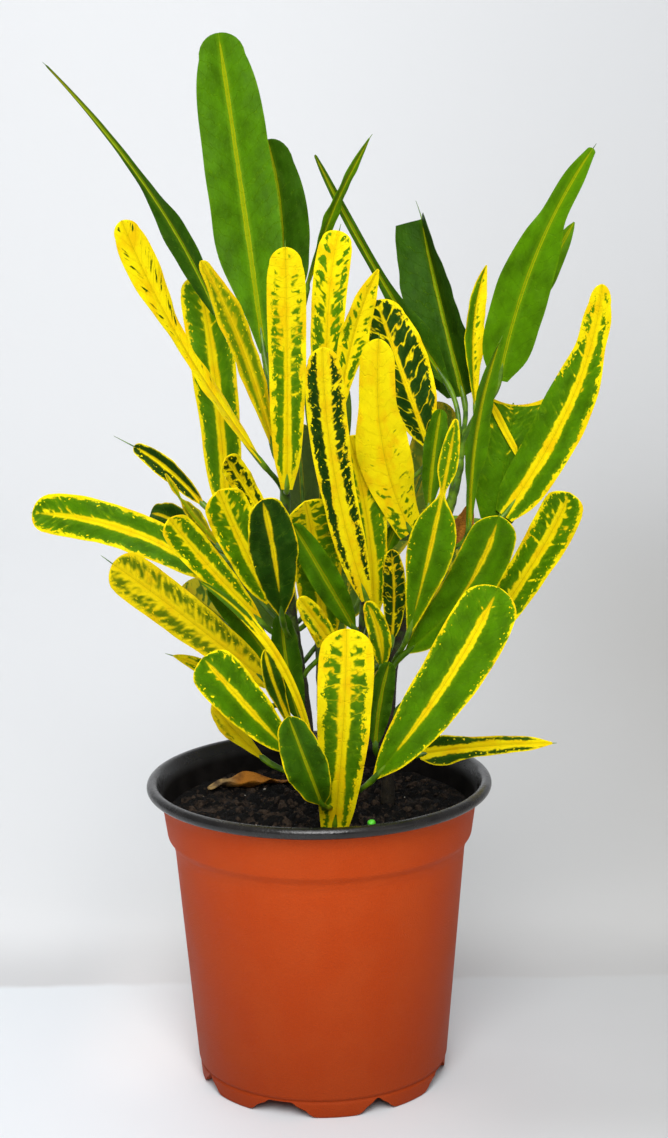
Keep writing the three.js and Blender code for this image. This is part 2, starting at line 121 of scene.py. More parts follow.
# The stage, in metres, watts and degrees. Each lamp has its place, the spot that it points at, its power
# and its tint.
LAMPS = {
    "key": ((-0.05, -1.3, 1.25), (0, 0, 0.25), 24, (1, 1, 1)),
    "fill": ((1.2, -1.2, 0.6), (0, 0, 0.2), 1.5, (1, 0.98, 0.95)),
    "top": ((0, -0.7, 1.7), (0, 0, 0.1), 7, (1, 1, 1)),
    "sweep_lamp": ((-0.35, 0.8, 1.6), (-0.15, 2.0, 0.65), 11.7, (1, 1, 1)),
}
SKY = {"tint": (0.94, 0.97, 1, 1), "strength": 0.31}
SWEEP = {"width": 7.0, "front": -3.0, "bend": 1.2, "radius": 0.8, "top": 2.4}
CAMERA_TURN = {"pitch": 11.47, "yaw": 0.48, "roll": -0.77}

# Leaves are laid out as they are seen from the front: x and z are read in the upright plane through the pot's
# axis, and the line of sight from EYE through that spot is followed to the depth y.
EYE = (0.0, -860.0, 386.0)


def number_rows(text):
    """The rows of numbers in a text, with a comma between rows."""
    return [tuple(float(word) for word in row.split()) for row in text.split(",")]


# Half widths along a blade as shares of its widest, from the petiole (0) to the tip (1).
SHAPES = {name: number_rows(row) for name, row in {
    "strap": "0 0.1, 0.12 0.5, 0.35 0.85, 0.68 1, 0.87 0.95, 0.95 0.76, 1 0.34",
    "plank": "0 0.52, 0.14 0.72, 0.35 0.9, 0.6 1, 0.88 0.98, 0.95 0.78, 1 0.36",
    "tab": "0 0.3, 0.14 0.72, 0.35 0.92, 0.6 1, 0.88 0.98, 0.95 0.78, 1 0.36",
    "paddle": "0 0.08, 0.2 0.32, 0.42 0.62, 0.72 1, 0.88 0.92, 0.95 0.7, 1 0.3",
    "oval": "0 0.12, 0.15 0.6, 0.45 1, 0.7 0.95, 0.87 0.74, 0.95 0.5, 1 0.2",
    "slender": "0 0.1, 0.2 0.6, 0.45 0.95, 0.65 1, 0.82 0.72, 0.93 0.5, 0.98 0.38, 1 0.2",
    "spear": "0 0.12, 0.2 0.55, 0.45 1, 0.75 0.75, 0.92 0.35, 1 0.06",
    "lance": "0 0.3, 0.1 0.8, 0.22 1, 0.34 0.82, 0.46 0.69, 0.7 0.56, 0.86 0.44, 1 0.06",
    "whip": "0 0.35, 0.12 0.85, 0.25 1, 0.36 0.88, 0.48 0.52, 0.62 0.28, 0.8 0.18, 1 0.06",
    "tail": "0 0.25, 0.1 0.8, 0.2 1, 0.32 0.58, 0.46 0.36, 0.75 0.3, 0.92 0.2, 1 0.08",
    "band": "0 0.12, 0.1 0.38, 0.18 0.66, 0.26 0.9, 0.36 1, 0.6 0.96, 0.8 0.87, 0.93 0.6, 1 0.2",
    "flared": "0 0.4, 0.08 0.8, 0.2 0.95, 0.43 1, 0.57 0.88, 0.72 0.58, 0.86 0.53, 1 0.2",
    "taper": "0 0.3, 0.1 0.85, 0.26 1, 0.44 0.94, 0.58 0.72, 0.68 0.48, 0.86 0.38, 1 0.14",
    "waisted": "0 0.2, 0.14 0.7, 0.3 0.8, 0.44 0.45, 0.55 0.6, 0.7 0.95, 0.88 1, 0.96 0.74, 1 0.3",
    "broken": "0 0.1, 0.2 0.6, 0.42 1, 0.56 0.75, 0.66 0.14, 0.78 0.4, 0.92 0.3, 1 0.1",
    "shouldered": "0 0.5, 0.2 0.72, 0.36 0.98, 0.54 1, 0.7 0.72, 0.85 0.66, 0.97 0.58, 1 0.3",
    "cut": "0 0.5, 0.14 0.95, 0.4 1, 0.7 0.95, 0.9 0.86, 1 0.74",
    "web": "0 0.45, 0.2 0.75, 0.5 0.95, 0.8 1, 1 0.95",
    "ribbon": "0 0.5, 0.3 0.8, 0.6 1, 0.85 0.9, 1 0.3",
}.items()}

# Blades that end in a point, and blades that end square. All the others have a round tip.
POINTED = {"whip", "tail", "spear", "taper", "broken", "lance", "ribbon"}
SQUARE = {"cut", "web"}


class Look(NamedTuple):
    """How a leaf is coloured. Lengths are in millimetres."""

    green: tuple = (3, 3)  # at its foot and tip: 0 is yellow, 1 is green, and from about 3 nothing is yellow
    tone: float = 0.5  # how light the green is
    rib: float = 0.8  # half width of the yellow midrib
    margin: float = -1  # width of the yellow margin, and below 0 none
    vein: float = -9  # width of the yellow side veins, and below 0 none
    pitch: float = 6  # distance between the side veins
    slant: float = 0.8  # slope of the side veins
    fade: float = 0  # how much narrower the side veins are at the foot
    start: float = -0.4  # how far up the yellow midrib begins
    end: float = 0.97  # how far up it fades out
    gold: float = 1  # how yellow the midrib is
    lean: float = 0  # how much greener the left half is
    soft: float = 0.42  # width of the colours' blend, and above 0.5 they are also duller
    noise: float = 1  # raggedness of the colours
    sheen: float = 0.3  # strength of the painted sheen, a pale tint laid over the green in soft patches
    bare: float = 0  # how far up one side has no margin: the left side below 0, the right above
    capped: bool = False  # a yellow edge across the end, and none at the sides


LOOKS = {
    "plain": Look(tone=0.38, rib=0.7, gold=0.15),
    "light": Look(tone=0.6, rib=0.5, gold=0.1),
    "limes": Look(tone=0.54, rib=0.35, gold=0.05),
    "deep": Look(tone=0.34, rib=0.5, gold=0.1),
    "dark": Look(tone=0.2, rib=0.5, gold=0.1, sheen=0.5),
    "glossy": Look(tone=0.17, rib=0.9, gold=0.1, sheen=0.3),
    "whip_green": Look(tone=0.16, rib=0.4, gold=0),
    "dark_olive": Look(tone=0.3, rib=0.5, gold=0.3, sheen=0.6),
    "limed": Look(tone=0.45, rib=0.7, gold=0.3),
    "seamed": Look((-2.4, 2.2), 0.2, 0.3, noise=0.3),
    "web": Look((2.0, 1.0), 0.4, -2, 1.6, noise=1.2, capped=True),
    "vein": Look((-3, -3), rib=3),
    "dashed": Look((0.1, 0.3), 0.12, 1.2, 1.1, end=1.2, slant=2.0),
    "streaked": Look((1.9, 0.35), 0.42, 1.6, 1.9, vein=0.5, pitch=4, end=1.2, slant=0.3, fade=1.2, soft=0.45),
    "columned": Look((1.7, 1.0), 0.42, 1.9, 1.4, end=1.2, soft=0.5, noise=0.9),
    "soft": Look((1.35, 0.9), 0.75, 1.2, 1.3, end=1.2, soft=0.85, noise=0.45),
    "striped": Look((1.4, 0.9), 0.4, 1.9, 1.2, end=1.2, soft=0.45, noise=0.8),
    "striped_low": Look((1.3, 1.0), 0.38, 1.6, 1.1, end=1.2, soft=0.45, noise=0.8),
    "patched": Look((1.2, 0.5), 0.42, 1.3, 0.9, end=1.2, noise=1.2),
    "islands": Look((1.8, 0.75), 0.34, 2.4, 2.5, vein=0.6, pitch=6.1, end=1.2, slant=0.15, fade=1.8,
                    soft=0.5, noise=1.0),
    "spotted": Look((1.6, 0.95), 0.36, 1.9, 1.5, vein=0.4, pitch=5, end=1.2, slant=0.2, fade=1.0),
    "sparse": Look((0.8, 0.35), 0.4, 0.9, 1.0, end=1.2),
    "banded": Look((1.5, 1.1), 0.0, 2.8, 1.2, end=1.2, lean=0.3, noise=1.3),
    "netted": Look((1.8, 1.5), 0.05, 1.0, 1.5, vein=0.4, pitch=6.5, noise=1.1),
    "dark_netted": Look((1.9, 1.9), 0.03, 0.8, 0.4, lean=-0.8),
    "edged": Look((2.2, 1.5), 0.38, 1.2, 0.7, start=0.05, noise=1.3),
    "thin_edged": Look((2.4, 1.3), 0.46, 0.8, 0.5, start=0.1),
    "deep_edged": Look((2.6, 1.9), 0.22, 0.4, 0.3, gold=0.2),
    "sheened": Look((2.1, 1.1), 0.38, 1.6, 1.2, soft=0.5, noise=1.1, sheen=0.6),
    "speckled": Look((2.2, 1.6), 0.48, 1.7, 0.7, start=0.12, noise=1.4),
    "blocked": Look((1.5, 1.0), 0.42, 2.0, 1.2, noise=1.2),
    "short_rib": Look((3.0, 2.2), 0.42, 1.1, 0.25, start=0.42, noise=1.2),
    "broad_rib": Look((2.2, 0.95), 0.42, 2.1, 1.5, end=1.2, noise=1.3),
    "joined": Look((2.2, 0.95), 0.42, 2.1, 1.5, end=1.2, noise=1.3, bare=-0.56),
    "faded": Look((1.6, 1.0), 0.15, 0.7, 0.4, soft=1.0, gold=0.2),
    "dark_rib": Look((2.2, 1.2), 0.12, 2.0, 0.5, end=1.2, noise=1.3),
    "dark_edged": Look((2.8, 2.2), 0.12, 0.7, 0.3, sheen=0.6),
    "dark_banded": Look((3.0, 2.4), 0.1, 1.1, 0.45, start=0.15, sheen=0.6),
    "black": Look((2.0, 1.5), 0.0, 0.4, 0.3, vein=0.1, noise=1.4),
    "half": Look((1.3, 1.1), 0.4, 0.5, 0.3, lean=2.2),
    "olive": Look((0.95, 0.7), 0.28, 2.2, 1.3, end=1.2, soft=1.0, noise=0.9),
    "golden": Look((0.8, -0.9), 0.3, 0.4, 0.5),
    "withered": Look(),
}


class Leaf(NamedTuple):
    """One blade, as its row in STEMS gives it."""

    joint: float | None  # height at which its stalk leaves the stem, and None for a blade without a stalk
    shape: str
    base: list
    mid: list
    tip: list
    width: float
    foot_turn: float  # where it faces at its foot and tip, in degrees from the front toward the right
    tip_turn: float
    fold: float  # how far each half folds up, in degrees
    look: str
    hair: float  # length of the hair at its tip


class Stem(NamedTuple):
    """A stem's line above the soil, and its leaves."""

    line: list
    leaves: list


def read_leaf(row):
    joint, shape, *spots, width, turns, fold, look, hair = row.split()
    spots = [float(word) for word in spots]
    turns = [float(word) for word in turns.split(":")]
    return Leaf(None if joint == "-" else float(joint), shape, spots[:3], spots[3:6], spots[6:], float(width),
                turns[0], turns[-1], float(fold), look, float(hair))


# Each stem has its line, and a row for each leaf: its joint, shape, base, mid, tip, width, turn, fold, look
# and hair. Two turns are for a blade that twists, and a dash for a joint means no stalk.
STEMS = {name: Stem(number_rows(line), [read_leaf(row) for row in rows.strip().splitlines()])
         for name, (line, rows) in {
    "left": ("-2 8 112, -6 8 158, -11 10 200, -12 10 252", """
248 whip  -37 18 314  -63 34 363  -100 50 409  12 -50 12 whip_green 2
236 waisted  -21 -2 255  -51 -14 302  -73 -34 350  13 80:0 8 dashed 0
225 tab  -35 24 232  -38 36 286  -44 44 329  19 -5 12 columned 0
240 slender  -16 4 260  -28 -6 301  -43 -20 334  12 20 12 soft 0
250 band  -19 24 298  -27 44 365  -34 56 420  29 0 12 plain 0
246 oval  -17 34 300  -11 52 338  -16 64 380  25 -10 16 dark 0
238 tab  -11 -4 244  -10 -14 291  -10 -28 339  15 0 10 streaked 3
252 spear  -2 26 322  8 18 352  23 10 380  7 50 12 light 2
190 tab  -41 10 209  -74 18 228  -112 30 236  18 0 10 sheened 1
165 strap  -22 -8 190  -44 -15 215  -58 -26 233  14 -5 16 striped_low 0
175 tab  -18 -6 199  -30 -14 224  -38 -24 244  18 5 12 striped 0
212 strap  -17 4 228  -28 2 246  -35 -6 257  10 0 12 netted 0
165 oval  -14 -22 193  -17 -41 220  -21 -56 240  19 5 8 dark_banded 0
140 tab  -20 -4 165  -53 -17 193  -81 -30 215  18 -5 8 olive 6
225 oval  -44 16 238  -57 18 252  -71 20 262  9 -35 24 dark_netted 9
212 broken  -38 8 221  -50 10 236  -59 12 251  7 30 20 faded 0
205 oval  -41 24 219  -55 34 231  -65 44 235  13 0 12 dark_edged 0
150 spear  -26 2 157  -43 3 170  -58 4 177  7 0 12 edged 3
126 ribbon  -2 -18 134  -17 -26 177  -46 -20 207  4 -10 10 seamed 0
126 spear  -10 -20 144  -18 -30 166  -21 -32 179  8 10 12 dark_edged 0
160 tab  3 0 180  0 -12 215  -4 -26 239  20 5 10 spotted 0
145 oval  -17 6 171  -29 4 190  -43 -2 205  11 -10 12 deep 0
132 oval  -7 -4 149  -12 -6 170  -14 -10 194  12 5 12 dark 0
"""),
    "centre": ("14 16 112, 18 14 166, 20 14 200, 20 14 228", """
222 tab  6 10 262  6 12 310  11 14 345  14 0 10 patched 2
224 spear  10 3 272  16 0 304  26 -6 330  12 20 12 sparse 0
216 shouldered  38 -4 226  27 -18 261  26 -34 303  21 -5 10 golden 3
226 oval  45 12 260  35 16 289  25 20 318  24 10 12 netted 2
170 tab  20 -12 199  8 -34 249  4 -56 300  15 3 12 banded 0
165 strap  23 0 190  21 -8 228  14 -18 265  16 12 14 striped 0
195 spear  27 2 216  30 1 224  34 0 231  7 10 14 deep 0
150 oval  30 -4 182  31 -8 201  30 -14 219  10 5 14 black 0
140 oval  26 -10 171  25 -18 184  20 -26 198  9 0 12 edged 0
160 oval  15 -8 187  4 -22 207  -9 -37 230  12 -8 14 deep 0
150 oval  8 -12 178  0 -24 190  -7 -34 200  9 -5 12 striped 0
"""),
    "right": ("28 4 112, 31 5 174, 42 8 204, 54 10 234, 59 11 256", """
250 tail  52 20 286  25 25 330  2 28 374  13 -20 14 whip_green 0
252 cut  59 30 280  51 41 313  43 52 349  30 -20:-60 38 glossy 8
246 spear  64 14 274  63 18 306  68 22 331  9 20 20 half 0
254 taper  73 6 286  87 0 334  109 -6 375  22 5 12 limes 2
244 spear  80 18 300  92 26 328  102 32 347  9 0 12 light 0
226 flared  75 16 232  102 14 279  113 5 323  21 -5 10 joined 0
- web  72 18.2 230  76 20.2 256  79 23 281  29 -5 1 web 0
- ribbon  84 17.8 250  77 19.8 263  69 20.8 279  3 -5 6 vein 0
206 spear  61 -4 226  64 -12 267  73 -24 301  12 35 20 limed 3
160 broken  37 -14 185  47.5 -31 227  56 -48 271  19 0 12 thin_edged 0
198 oval  45 5 235  47 6 256  50 7 275  10 10 20 dark_olive 0
205 spear  54 2 218  58 1 228  62 0 238  9 30 20 withered 0
150 strap  36 -8 177  59 -22 201  73 -36 232  20 5 12 short_rib 3
140 tab  60 -2 174  87 -12 213  101 -24 241  17 -5 10 blocked 0
122 lance  41 6 134  66 2 137  95 -4 138  13 0 14 dark_rib 2
124 oval  23 -14 138  25 -16 156  29 -20 173  10 5 12 dark 0
"""),
    "front": ("8 -27 112, 8 -28 120, 8 -29 127", """
114 strap  23 -40 125  51 -54 163  73 -61 203  24 3 8 speckled 0
116 plank  6 -34 104  10 -50 145  12 -61 187  21 2 7 islands 0
122 strap  -12 -40 136  -31 -50 158  -46 -56 176  19 -4 8 edged 0
116 oval  1 -47 114  -5 -58 131  -12 -64 151  18 -10 24 deep_edged 0
120 spear  -22 -30 133  -36 -32 148  -42 -32 158  9 -20 12 olive 4
"""),
    "back": ("2 34 112, 2 36 150, 0 40 214", """
192 strap  12 46 190  27 58 225  34 65 262  20 165 10 edged 0
190 strap  -9 48 190  -20 60 215  -31 66 240  19 195 10 columned 0
212 paddle  2 48 215  6 60 255  4 66 298  20 180 12 plain 0
170 strap  16 44 172  42 54 197  63 62 222  19 150 10 striped 0
168 strap  -12 44 170  -36 54 190  -54 60 205  18 210 10 patched 0
140 strap  8 50 150  15 62 166  23 68 188  18 175 12 edged 0
206 strap  22 46 208  40 52 242  50 57 278  18 160 10 soft 0
204 strap  -5 46 207  -5 54 243  -7 60 270  17 190 10 dark_edged 0
184 strap  -10 38 186  -28 44 207  -37 50 230  17 215 10 deep 0
160 strap  4 52 176  6 64 198  8 68 228  19 182 10 broad_rib 0
"""),
}.items()}


# Settings

def length(name, description, default, low, high):
    return FloatProperty(
        name=name, description=description, default=default, min=low, max=high, unit="LENGTH")


def colour(name, description, default):
    return FloatVectorProperty(
        name=name, description=description, default=default, size=3, min=0, max=1, subtype="COLOR")


class CrotonPotSettings(bpy.types.PropertyGroup):
    sides: IntProperty(name="Sides", description="Facets round the pot", default=144, min=24, max=256)
    grain: length("Grain", "Size of the grain of the moulded plastic", 0.0005, 0.0001, 0.005)
    outside: colour("Outside", "Colour of the outer plastic", (0.5, 0.056, 0.0048))
    outside_worn: colour("Outside, worn", "Colour of the paler patches outside", (0.51, 0.063, 0.0075))
    inside: colour("Inside and lip", "Colour of the inner plastic", (0.007, 0.006, 0.0055))


class CrotonSoilSettings(bpy.types.PropertyGroup):
    rings: IntProperty(
        name="Rings", description="Rings of faces on the soil's top", default=64, min=8, max=120)
    roughness: length("Clods", "Height of the clods on top", 0.0024, 0, 0.005)
    crumb_size: length("Crumb size", "Radius of the largest loose crumbs", 0.0022, 0.0003, 0.004)
    crumb_density: FloatProperty(
        name="Crumb density", description="Loose crumbs on a square metre", default=105000, min=0, max=400000)
    seed: IntProperty(name="Seed", description="Pattern of the loose crumbs", default=7)
    dark: colour("Dark", "Colour of the damp soil", (0.0032, 0.0024, 0.0021))
    pale: colour("Pale", "Colour of the drier crumbs", (0.07, 0.046, 0.031))
    fleck: colour("Flecks", "Colour of the white mineral flecks", (0.55, 0.5, 0.42))
    bead: colour("Bead", "Colour of the feed bead", (0.11, 0.75, 0.02))


class CrotonLeafSettings(bpy.types.PropertyGroup):
    rows: IntProperty(name="Rows", description="Rows of faces along a leaf", default=40, min=12, max=80)
    columns: IntProperty(
        name="Columns", description="Columns of faces across a leaf", default=14, min=4, max=24)
    middle: length("Thickness at the midrib", "Thickness beside the midrib", 0.0006, 0.0002, 0.002)
    margin: length("Thickness at the margin", "Thickness of the leaf's edge", 0.0003, 0.0001, 0.001)
    ripple: length("Ripple", "Height of the small waves on a margin", 0.00035, 0, 0.002)
    petiole: length("Petiole radius", "Radius of a leaf's stalk", 0.00105, 0.0003, 0.003)
    dark_green: colour("Dark green", "Darkest green", (0.006, 0.028, 0.002))
    green: colour("Green", "Middle green", (0.062, 0.168, 0.0006))
    light_green: colour("Light green", "Lightest green", (0.15, 0.29, 0.002))
    yellow: colour("Yellow", "Yellow of the variegation", (0.93, 0.75, 0.003))
    amber: colour("Amber", "Deeper yellow beside the midrib", (0.88, 0.56, 0.002))
    bark: colour("Bark", "Colour of the old stems", (0.02, 0.014, 0.006))
    dry: colour("Dry leaf", "Colour of dry leaves", (0.44, 0.165, 0.014))
    dry_dark: colour("Dry leaf, dark", "Colour of the dark blotches on dry leaves", (0.12, 0.042, 0.007))


class CrotonStageSettings(bpy.types.PropertyGroup):
    floor: colour("Floor", "Colour of the floor in front", (0.81, 0.85, 0.885))
    backdrop: colour("Backdrop", "Colour of the sweep behind", (0.845, 0.855, 0.87))
    brightness: FloatProperty(name="Brightness", description="Strength of the lamps", default=1, min=0, max=4)
    lens: FloatProperty(name="Lens", description="Focal length in millimetres", default=69.6, min=20, max=200)


# Curves and meshes

def unit(v):
    return v / max(np.linalg.norm(v), 1e-9)


def spot(point):
    """A spot seen at x, z in the axis plane, moved along its line of sight to the depth y."""
    x, y, z = point
    share = 1 - y / EYE[1]
    return np.array((x * share, y, EYE[2] + (z - EYE[2]) * share))


def eased(a, b, slope_a, slope_b, u):
    """The cubic from a to b that leaves and arrives with those slopes, at u from 0 to 1."""
    return (a * (1 + 2 * u) * (1 - u) ** 2 + b * u * u * (3 - 2 * u)
            + slope_a * u * (1 - u) ** 2 - slope_b * u * u * (1 - u))


def smooth(pairs, t):
    """A smooth curve through (t, value) pairs."""
    i = 0
    while i < len(pairs) - 2 and t > pairs[i + 1][0]:
        i += 1

    def slope(j):
        a, b = pairs[max(j - 1, 0)], pairs[min(j + 1, len(pairs) - 1)]
        return (b[1] - a[1]) / (b[0] - a[0])

    (t0, v0), (t1, v1) = pairs[i], pairs[i + 1]
    step = t1 - t0
    return eased(v0, v1, slope(i) * step, slope(i + 1) * step, (t - t0) / step)


def through(points, count):
    """Points along the centripetal curve through the given points."""
    points = [np.array(p, float) for p in points]
    last = len(points) - 1
    made = []
    for k in range(count + 1):
        at = last * k / count
        i = min(int(at), last - 1)
        p1, p2 = points[i], points[i + 1]
        p0 = points[i - 1] if i else 2 * p1 - p2
        p3 = points[i + 2] if i + 2 <= last else 2 * p2 - p1
        d0, d1, d2 = (max(np.linalg.norm(q - p), 1e-6) ** 0.5 for p, q in ((p0, p1), (p1, p2), (p2, p3)))
        m1 = ((p1 - p0) / d0 - (p2 - p0) / (d0 + d1) + (p2 - p1) / d1) * d1
        m2 = ((p2 - p1) / d1 - (p3 - p1) / (d1 + d2) + (p3 - p2) / d2) * d1
        made.append(eased(p1, p2, m1, m2, at - i))
    return made


def bezier(a, b, c, d, count):
    """Points along the cubic from a to d that b and c pull at."""
    for k in range(count + 1):
        t = k / count
        yield a * (1 - t) ** 3 + b * 3 * t * (1 - t) ** 2 + c * 3 * t * t * (1 - t) + d * t ** 3


class Arch:
    """The quadratic curve from base to tip that passes through mid halfway."""

    def __init__(self, base, mid, tip):
        self.a, self.c = np.array(base, float), np.array(tip, float)
        self.b = 2 * np.array(mid, float) - self.a / 2 - self.c / 2

    def point(self, t):
        return self.a * (1 - t) ** 2 + self.b * 2 * t * (1 - t) + self.c * t * t

    def tangent(self, t):
        return unit((self.b - self.a) * (1 - t) + (self.c - self.b) * t)

    def span(self):
        return float(np.linalg.norm(self.c - self.a))


def stem_line(line):
    """Points along a stem, from its root in the soil."""
    x, y = line[0][:2]
    return through([(x, y, STEM_ROOT), (x, y, STEM_BEND), *line], STEM_STEPS)


def blade_frame(leaf):
    """A blade's spine, where its tip begins, and at each t the point, across, normal, half width and fold."""
    spine = Arch(spot(leaf.base), spot(leaf.mid), spot(leaf.tip))
    rounding = min(TIP_ROUNDING, 0.42 * leaf.width / spine.span())
    if leaf.shape in POINTED:
        rounding = POINT_ROUNDING
    elif leaf.shape in SQUARE:
        rounding = 0

    def at(t):
        turn = math.radians(leaf.foot_turn + (leaf.tip_turn - leaf.foot_turn) * t)
        upper = np.array((math.sin(turn) * math.cos(FACE_LIFT), -math.cos(turn) * math.cos(FACE_LIFT),
                          math.sin(FACE_LIFT)))
        across = unit(np.cross(spine.tangent(t), upper))
        half = leaf.width / 2 * smooth(SHAPES[leaf.shape], min(t, 1 - rounding))
        if t > 1 - rounding:
            half *= math.sqrt(max(0.0, 1 - ((t - 1 + rounding) / rounding) ** 2))
        return spine.point(t), across, np.cross(across, spine.tangent(t)), half, math.radians(leaf.fold)

    return spine, 1 - rounding, at


def new_object(name, data):
    obj = bpy.data.objects.new(name, data)
    bpy.context.scene.collection.objects.link(obj)
    return obj


def mesh_from(name, points, faces, materials=(), slots=None):
    """A smooth mesh from points in millimetres."""
    mesh = bpy.data.meshes.new(name)
    mesh.from_pydata([tuple(float(c) * MM for c in p) for p in points], [], faces)
    for item in materials:
        mesh.materials.append(item)
    if slots is not None:
        mesh.polygons.foreach_set("material_index", slots)
    smoothed(mesh)
    mesh.update()
    return mesh


def smoothed(mesh):
    mesh.polygons.foreach_set("use_smooth", [True] * len(mesh.polygons))


def put_attribute(mesh, name, kind, values):
    made = mesh.attributes.new(name, kind, "POINT")
    key = "vector" if kind == "FLOAT_VECTOR" else "value"
    made.data.foreach_set(key, np.array(values, np.float32).ravel())


def baked(obj, name):
    """The object as its modifiers leave it, as a plain mesh object. The first one is removed."""
    graph = bpy.context.evaluated_depsgraph_get()
    mesh = bpy.data.meshes.new_from_object(obj.evaluated_get(graph), depsgraph=graph)
    mesh.name = name
    old = obj.data
    bpy.data.objects.remove(obj)
    if old.users == 0:
        bpy.data.meshes.remove(old)
    return new_object(name, mesh)


def settle(obj, slot, *nodes):
    """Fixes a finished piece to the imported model."""
    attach(obj, BODY)
    if nodes:
        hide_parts(*nodes)


# Node trees

class Nodes:
    """A node tree, with short calls for the nodes that it uses most. Each value is a number or a socket."""

    def __init__(self, tree):
        self.tree = tree

    def put(self, socket, value):
        """Links a value that is a socket, and sets any other."""
        if isinstance(value, bpy.types.NodeSocket):
            self.tree.links.new(value, socket)
        else:
            socket.default_value = value

    def add(self, kind, inputs=(), **settings):
        node = self.tree.nodes.new(kind)
        for key, value in settings.items():
            setattr(node, key, value)
        for key, value in dict(inputs).items():
            self.put(node.inputs[key], value)
        return node

    def maths(self, operation, *values):
        return self.add("ShaderNodeMath", enumerate(values), operation=operation).outputs[0]

    def plus(self, a, b):
        return self.maths("ADD", a, b)

    def minus(self, a, b):
        return self.maths("SUBTRACT", a, b)

    def times(self, a, b):
        return self.maths("MULTIPLY", a, b)

    def scaled(self, a, b, c):
        """a times b, plus c."""
        return self.maths("MULTIPLY_ADD", a, b, c)

    def ramp(self, value, low, high):
        """0 below low, 1 above high, and smooth between them."""
        return self.add("ShaderNodeMapRange", {"Value": value, "From Min": low, "From Max": high},
                        interpolation_type="SMOOTHSTEP").outputs[0]

    def mixed(self, share, a, b, mode="MIX"):
        mix = self.add("ShaderNodeMix", {0: share, 6: a, 7: b}, data_type="RGBA", blend_type=mode)
        return mix.outputs[2]

    def cloud(self, vector, size, detail=2.0):
        """Noise from 0 to 1 in patches of about the given size."""
        look = {"Vector": vector, "Scale": 1 / size, "Detail": detail}
        return self.add("ShaderNodeTexNoise", look).outputs[0]

    def parts(self, vector):
        return tuple(self.add("ShaderNodeSeparateXYZ", {0: vector}).outputs)

    def joined(self, x, y, z):
        return self.add("ShaderNodeCombineXYZ", {0: x, 1: y, 2: z}).outputs[0]


class Surface(Nodes):
    """A new material's nodes. place is the spot on the object that its patterns follow, in metres."""

    def __init__(self, name):
        self.material = bpy.data.materials.new(name)
        self.material.use_nodes = True
        super().__init__(self.material.node_tree)
        self.place = self.add("ShaderNodeTexCoord").outputs["Object"]

    def weathered(self, first, second, patch, grain, coverage=0.5):
        """Two colours in patches, with patch and grain sizes in metres."""
        return self.add("ShaderNodeGroup",
                        {"Place": self.place, "Color": rgba(first), "Second Color": rgba(second),
                         "Patch Size": patch, "Grain Size": grain, "Coverage": coverage},
                        node_tree=weathered_group()).outputs

    def finished(self, tint, roughness, height, depth, gloss=0.5, strength=1.0):
        """The material, with its shader's values and a bump of that depth in metres."""
        bump = self.add("ShaderNodeBump", {"Strength": strength, "Distance": depth, "Height": height})
        shader = self.tree.nodes["Principled BSDF"].inputs
        self.put(shader["Base Color"], tint)
        self.put(shader["Roughness"], roughness)
        self.put(shader["Specular IOR Level"], gloss)
        self.put(shader["Normal"], bump.outputs[0])
        return self.material


def rgba(tint):
    return (*tint, 1.0)


def shade_of(tint, share):
    return [share * c for c in tint]


def new_group(name, kind, inputs, outputs):
    """An empty node group, with for each input the kind of its socket or a number that is its default."""
    tree = bpy.data.node_groups.new(name, kind)
    for label, value in inputs.items():
        plain = {int: "Int", float: "Float"}.get(type(value))
        socket = tree.interface.new_socket(label, in_out="INPUT", socket_type=f"NodeSocket{plain or value}")
        if plain:
            socket.default_value = value
    for label, value in outputs.items():
        tree.interface.new_socket(label, in_out="OUTPUT", socket_type=f"NodeSocket{value}")
    return Nodes(tree), tree.nodes.new("NodeGroupInput").outputs, tree.nodes.new("NodeGroupOutput").inputs


# Shader groups

def weathered_group():
    """Two colours in soft patches with fine grain: plastic, soil, bark and dry leaf all use it."""
    found = bpy.data.node_groups.get("Weathered surface")
    if found:
        return found
    made, given, out = new_group(
        "Weathered surface", "ShaderNodeTree",
        {"Place": "Vector", "Color": "Color", "Second Color": "Color", "Patch Size": 0.01,
         "Grain Size": 0.0005, "Coverage": 0.5},
        {"Color": "Color", "Patches": "Float", "Grain": "Float"})

    def layer(size, detail):
        look = {"Vector": given["Place"], "Scale": made.maths("DIVIDE", 1.0, size), "Detail": detail}
        return made.add("ShaderNodeTexNoise", look).outputs[0]

    patches = layer(given["Patch Size"], 5.0)
    grain = layer(given["Grain Size"], 3.0)
    edge = made.minus(1.0, given["Coverage"])
    share = made.ramp(patches, made.minus(edge, 0.14), made.plus(edge, 0.14))
    plain = made.mixed(share, given["Color"], given["Second Color"])
    made.put(out["Color"], made.mixed(1.0, plain, made.scaled(grain, 0.3, 0.85), "MULTIPLY"))
    made.put(out["Patches"], share)
    made.put(out["Grain"], grain)
    return made.tree


LEAF_VALUES = ("Place", "Look", "Trim", "Grade", "Form")
LEAF_COLOURS = ("Dark Green", "Green", "Light Green", "Yellow", "Amber")
# Pale green of the painted sheen on the leaves.
PAINTED_SHEEN_TINT = (0.12, 0.24, 0.02, 1)
DULL_GREEN = (0.17, 0.165, 0.003, 1)
DULL_YELLOW = (0.6, 0.42, 0.004, 1)


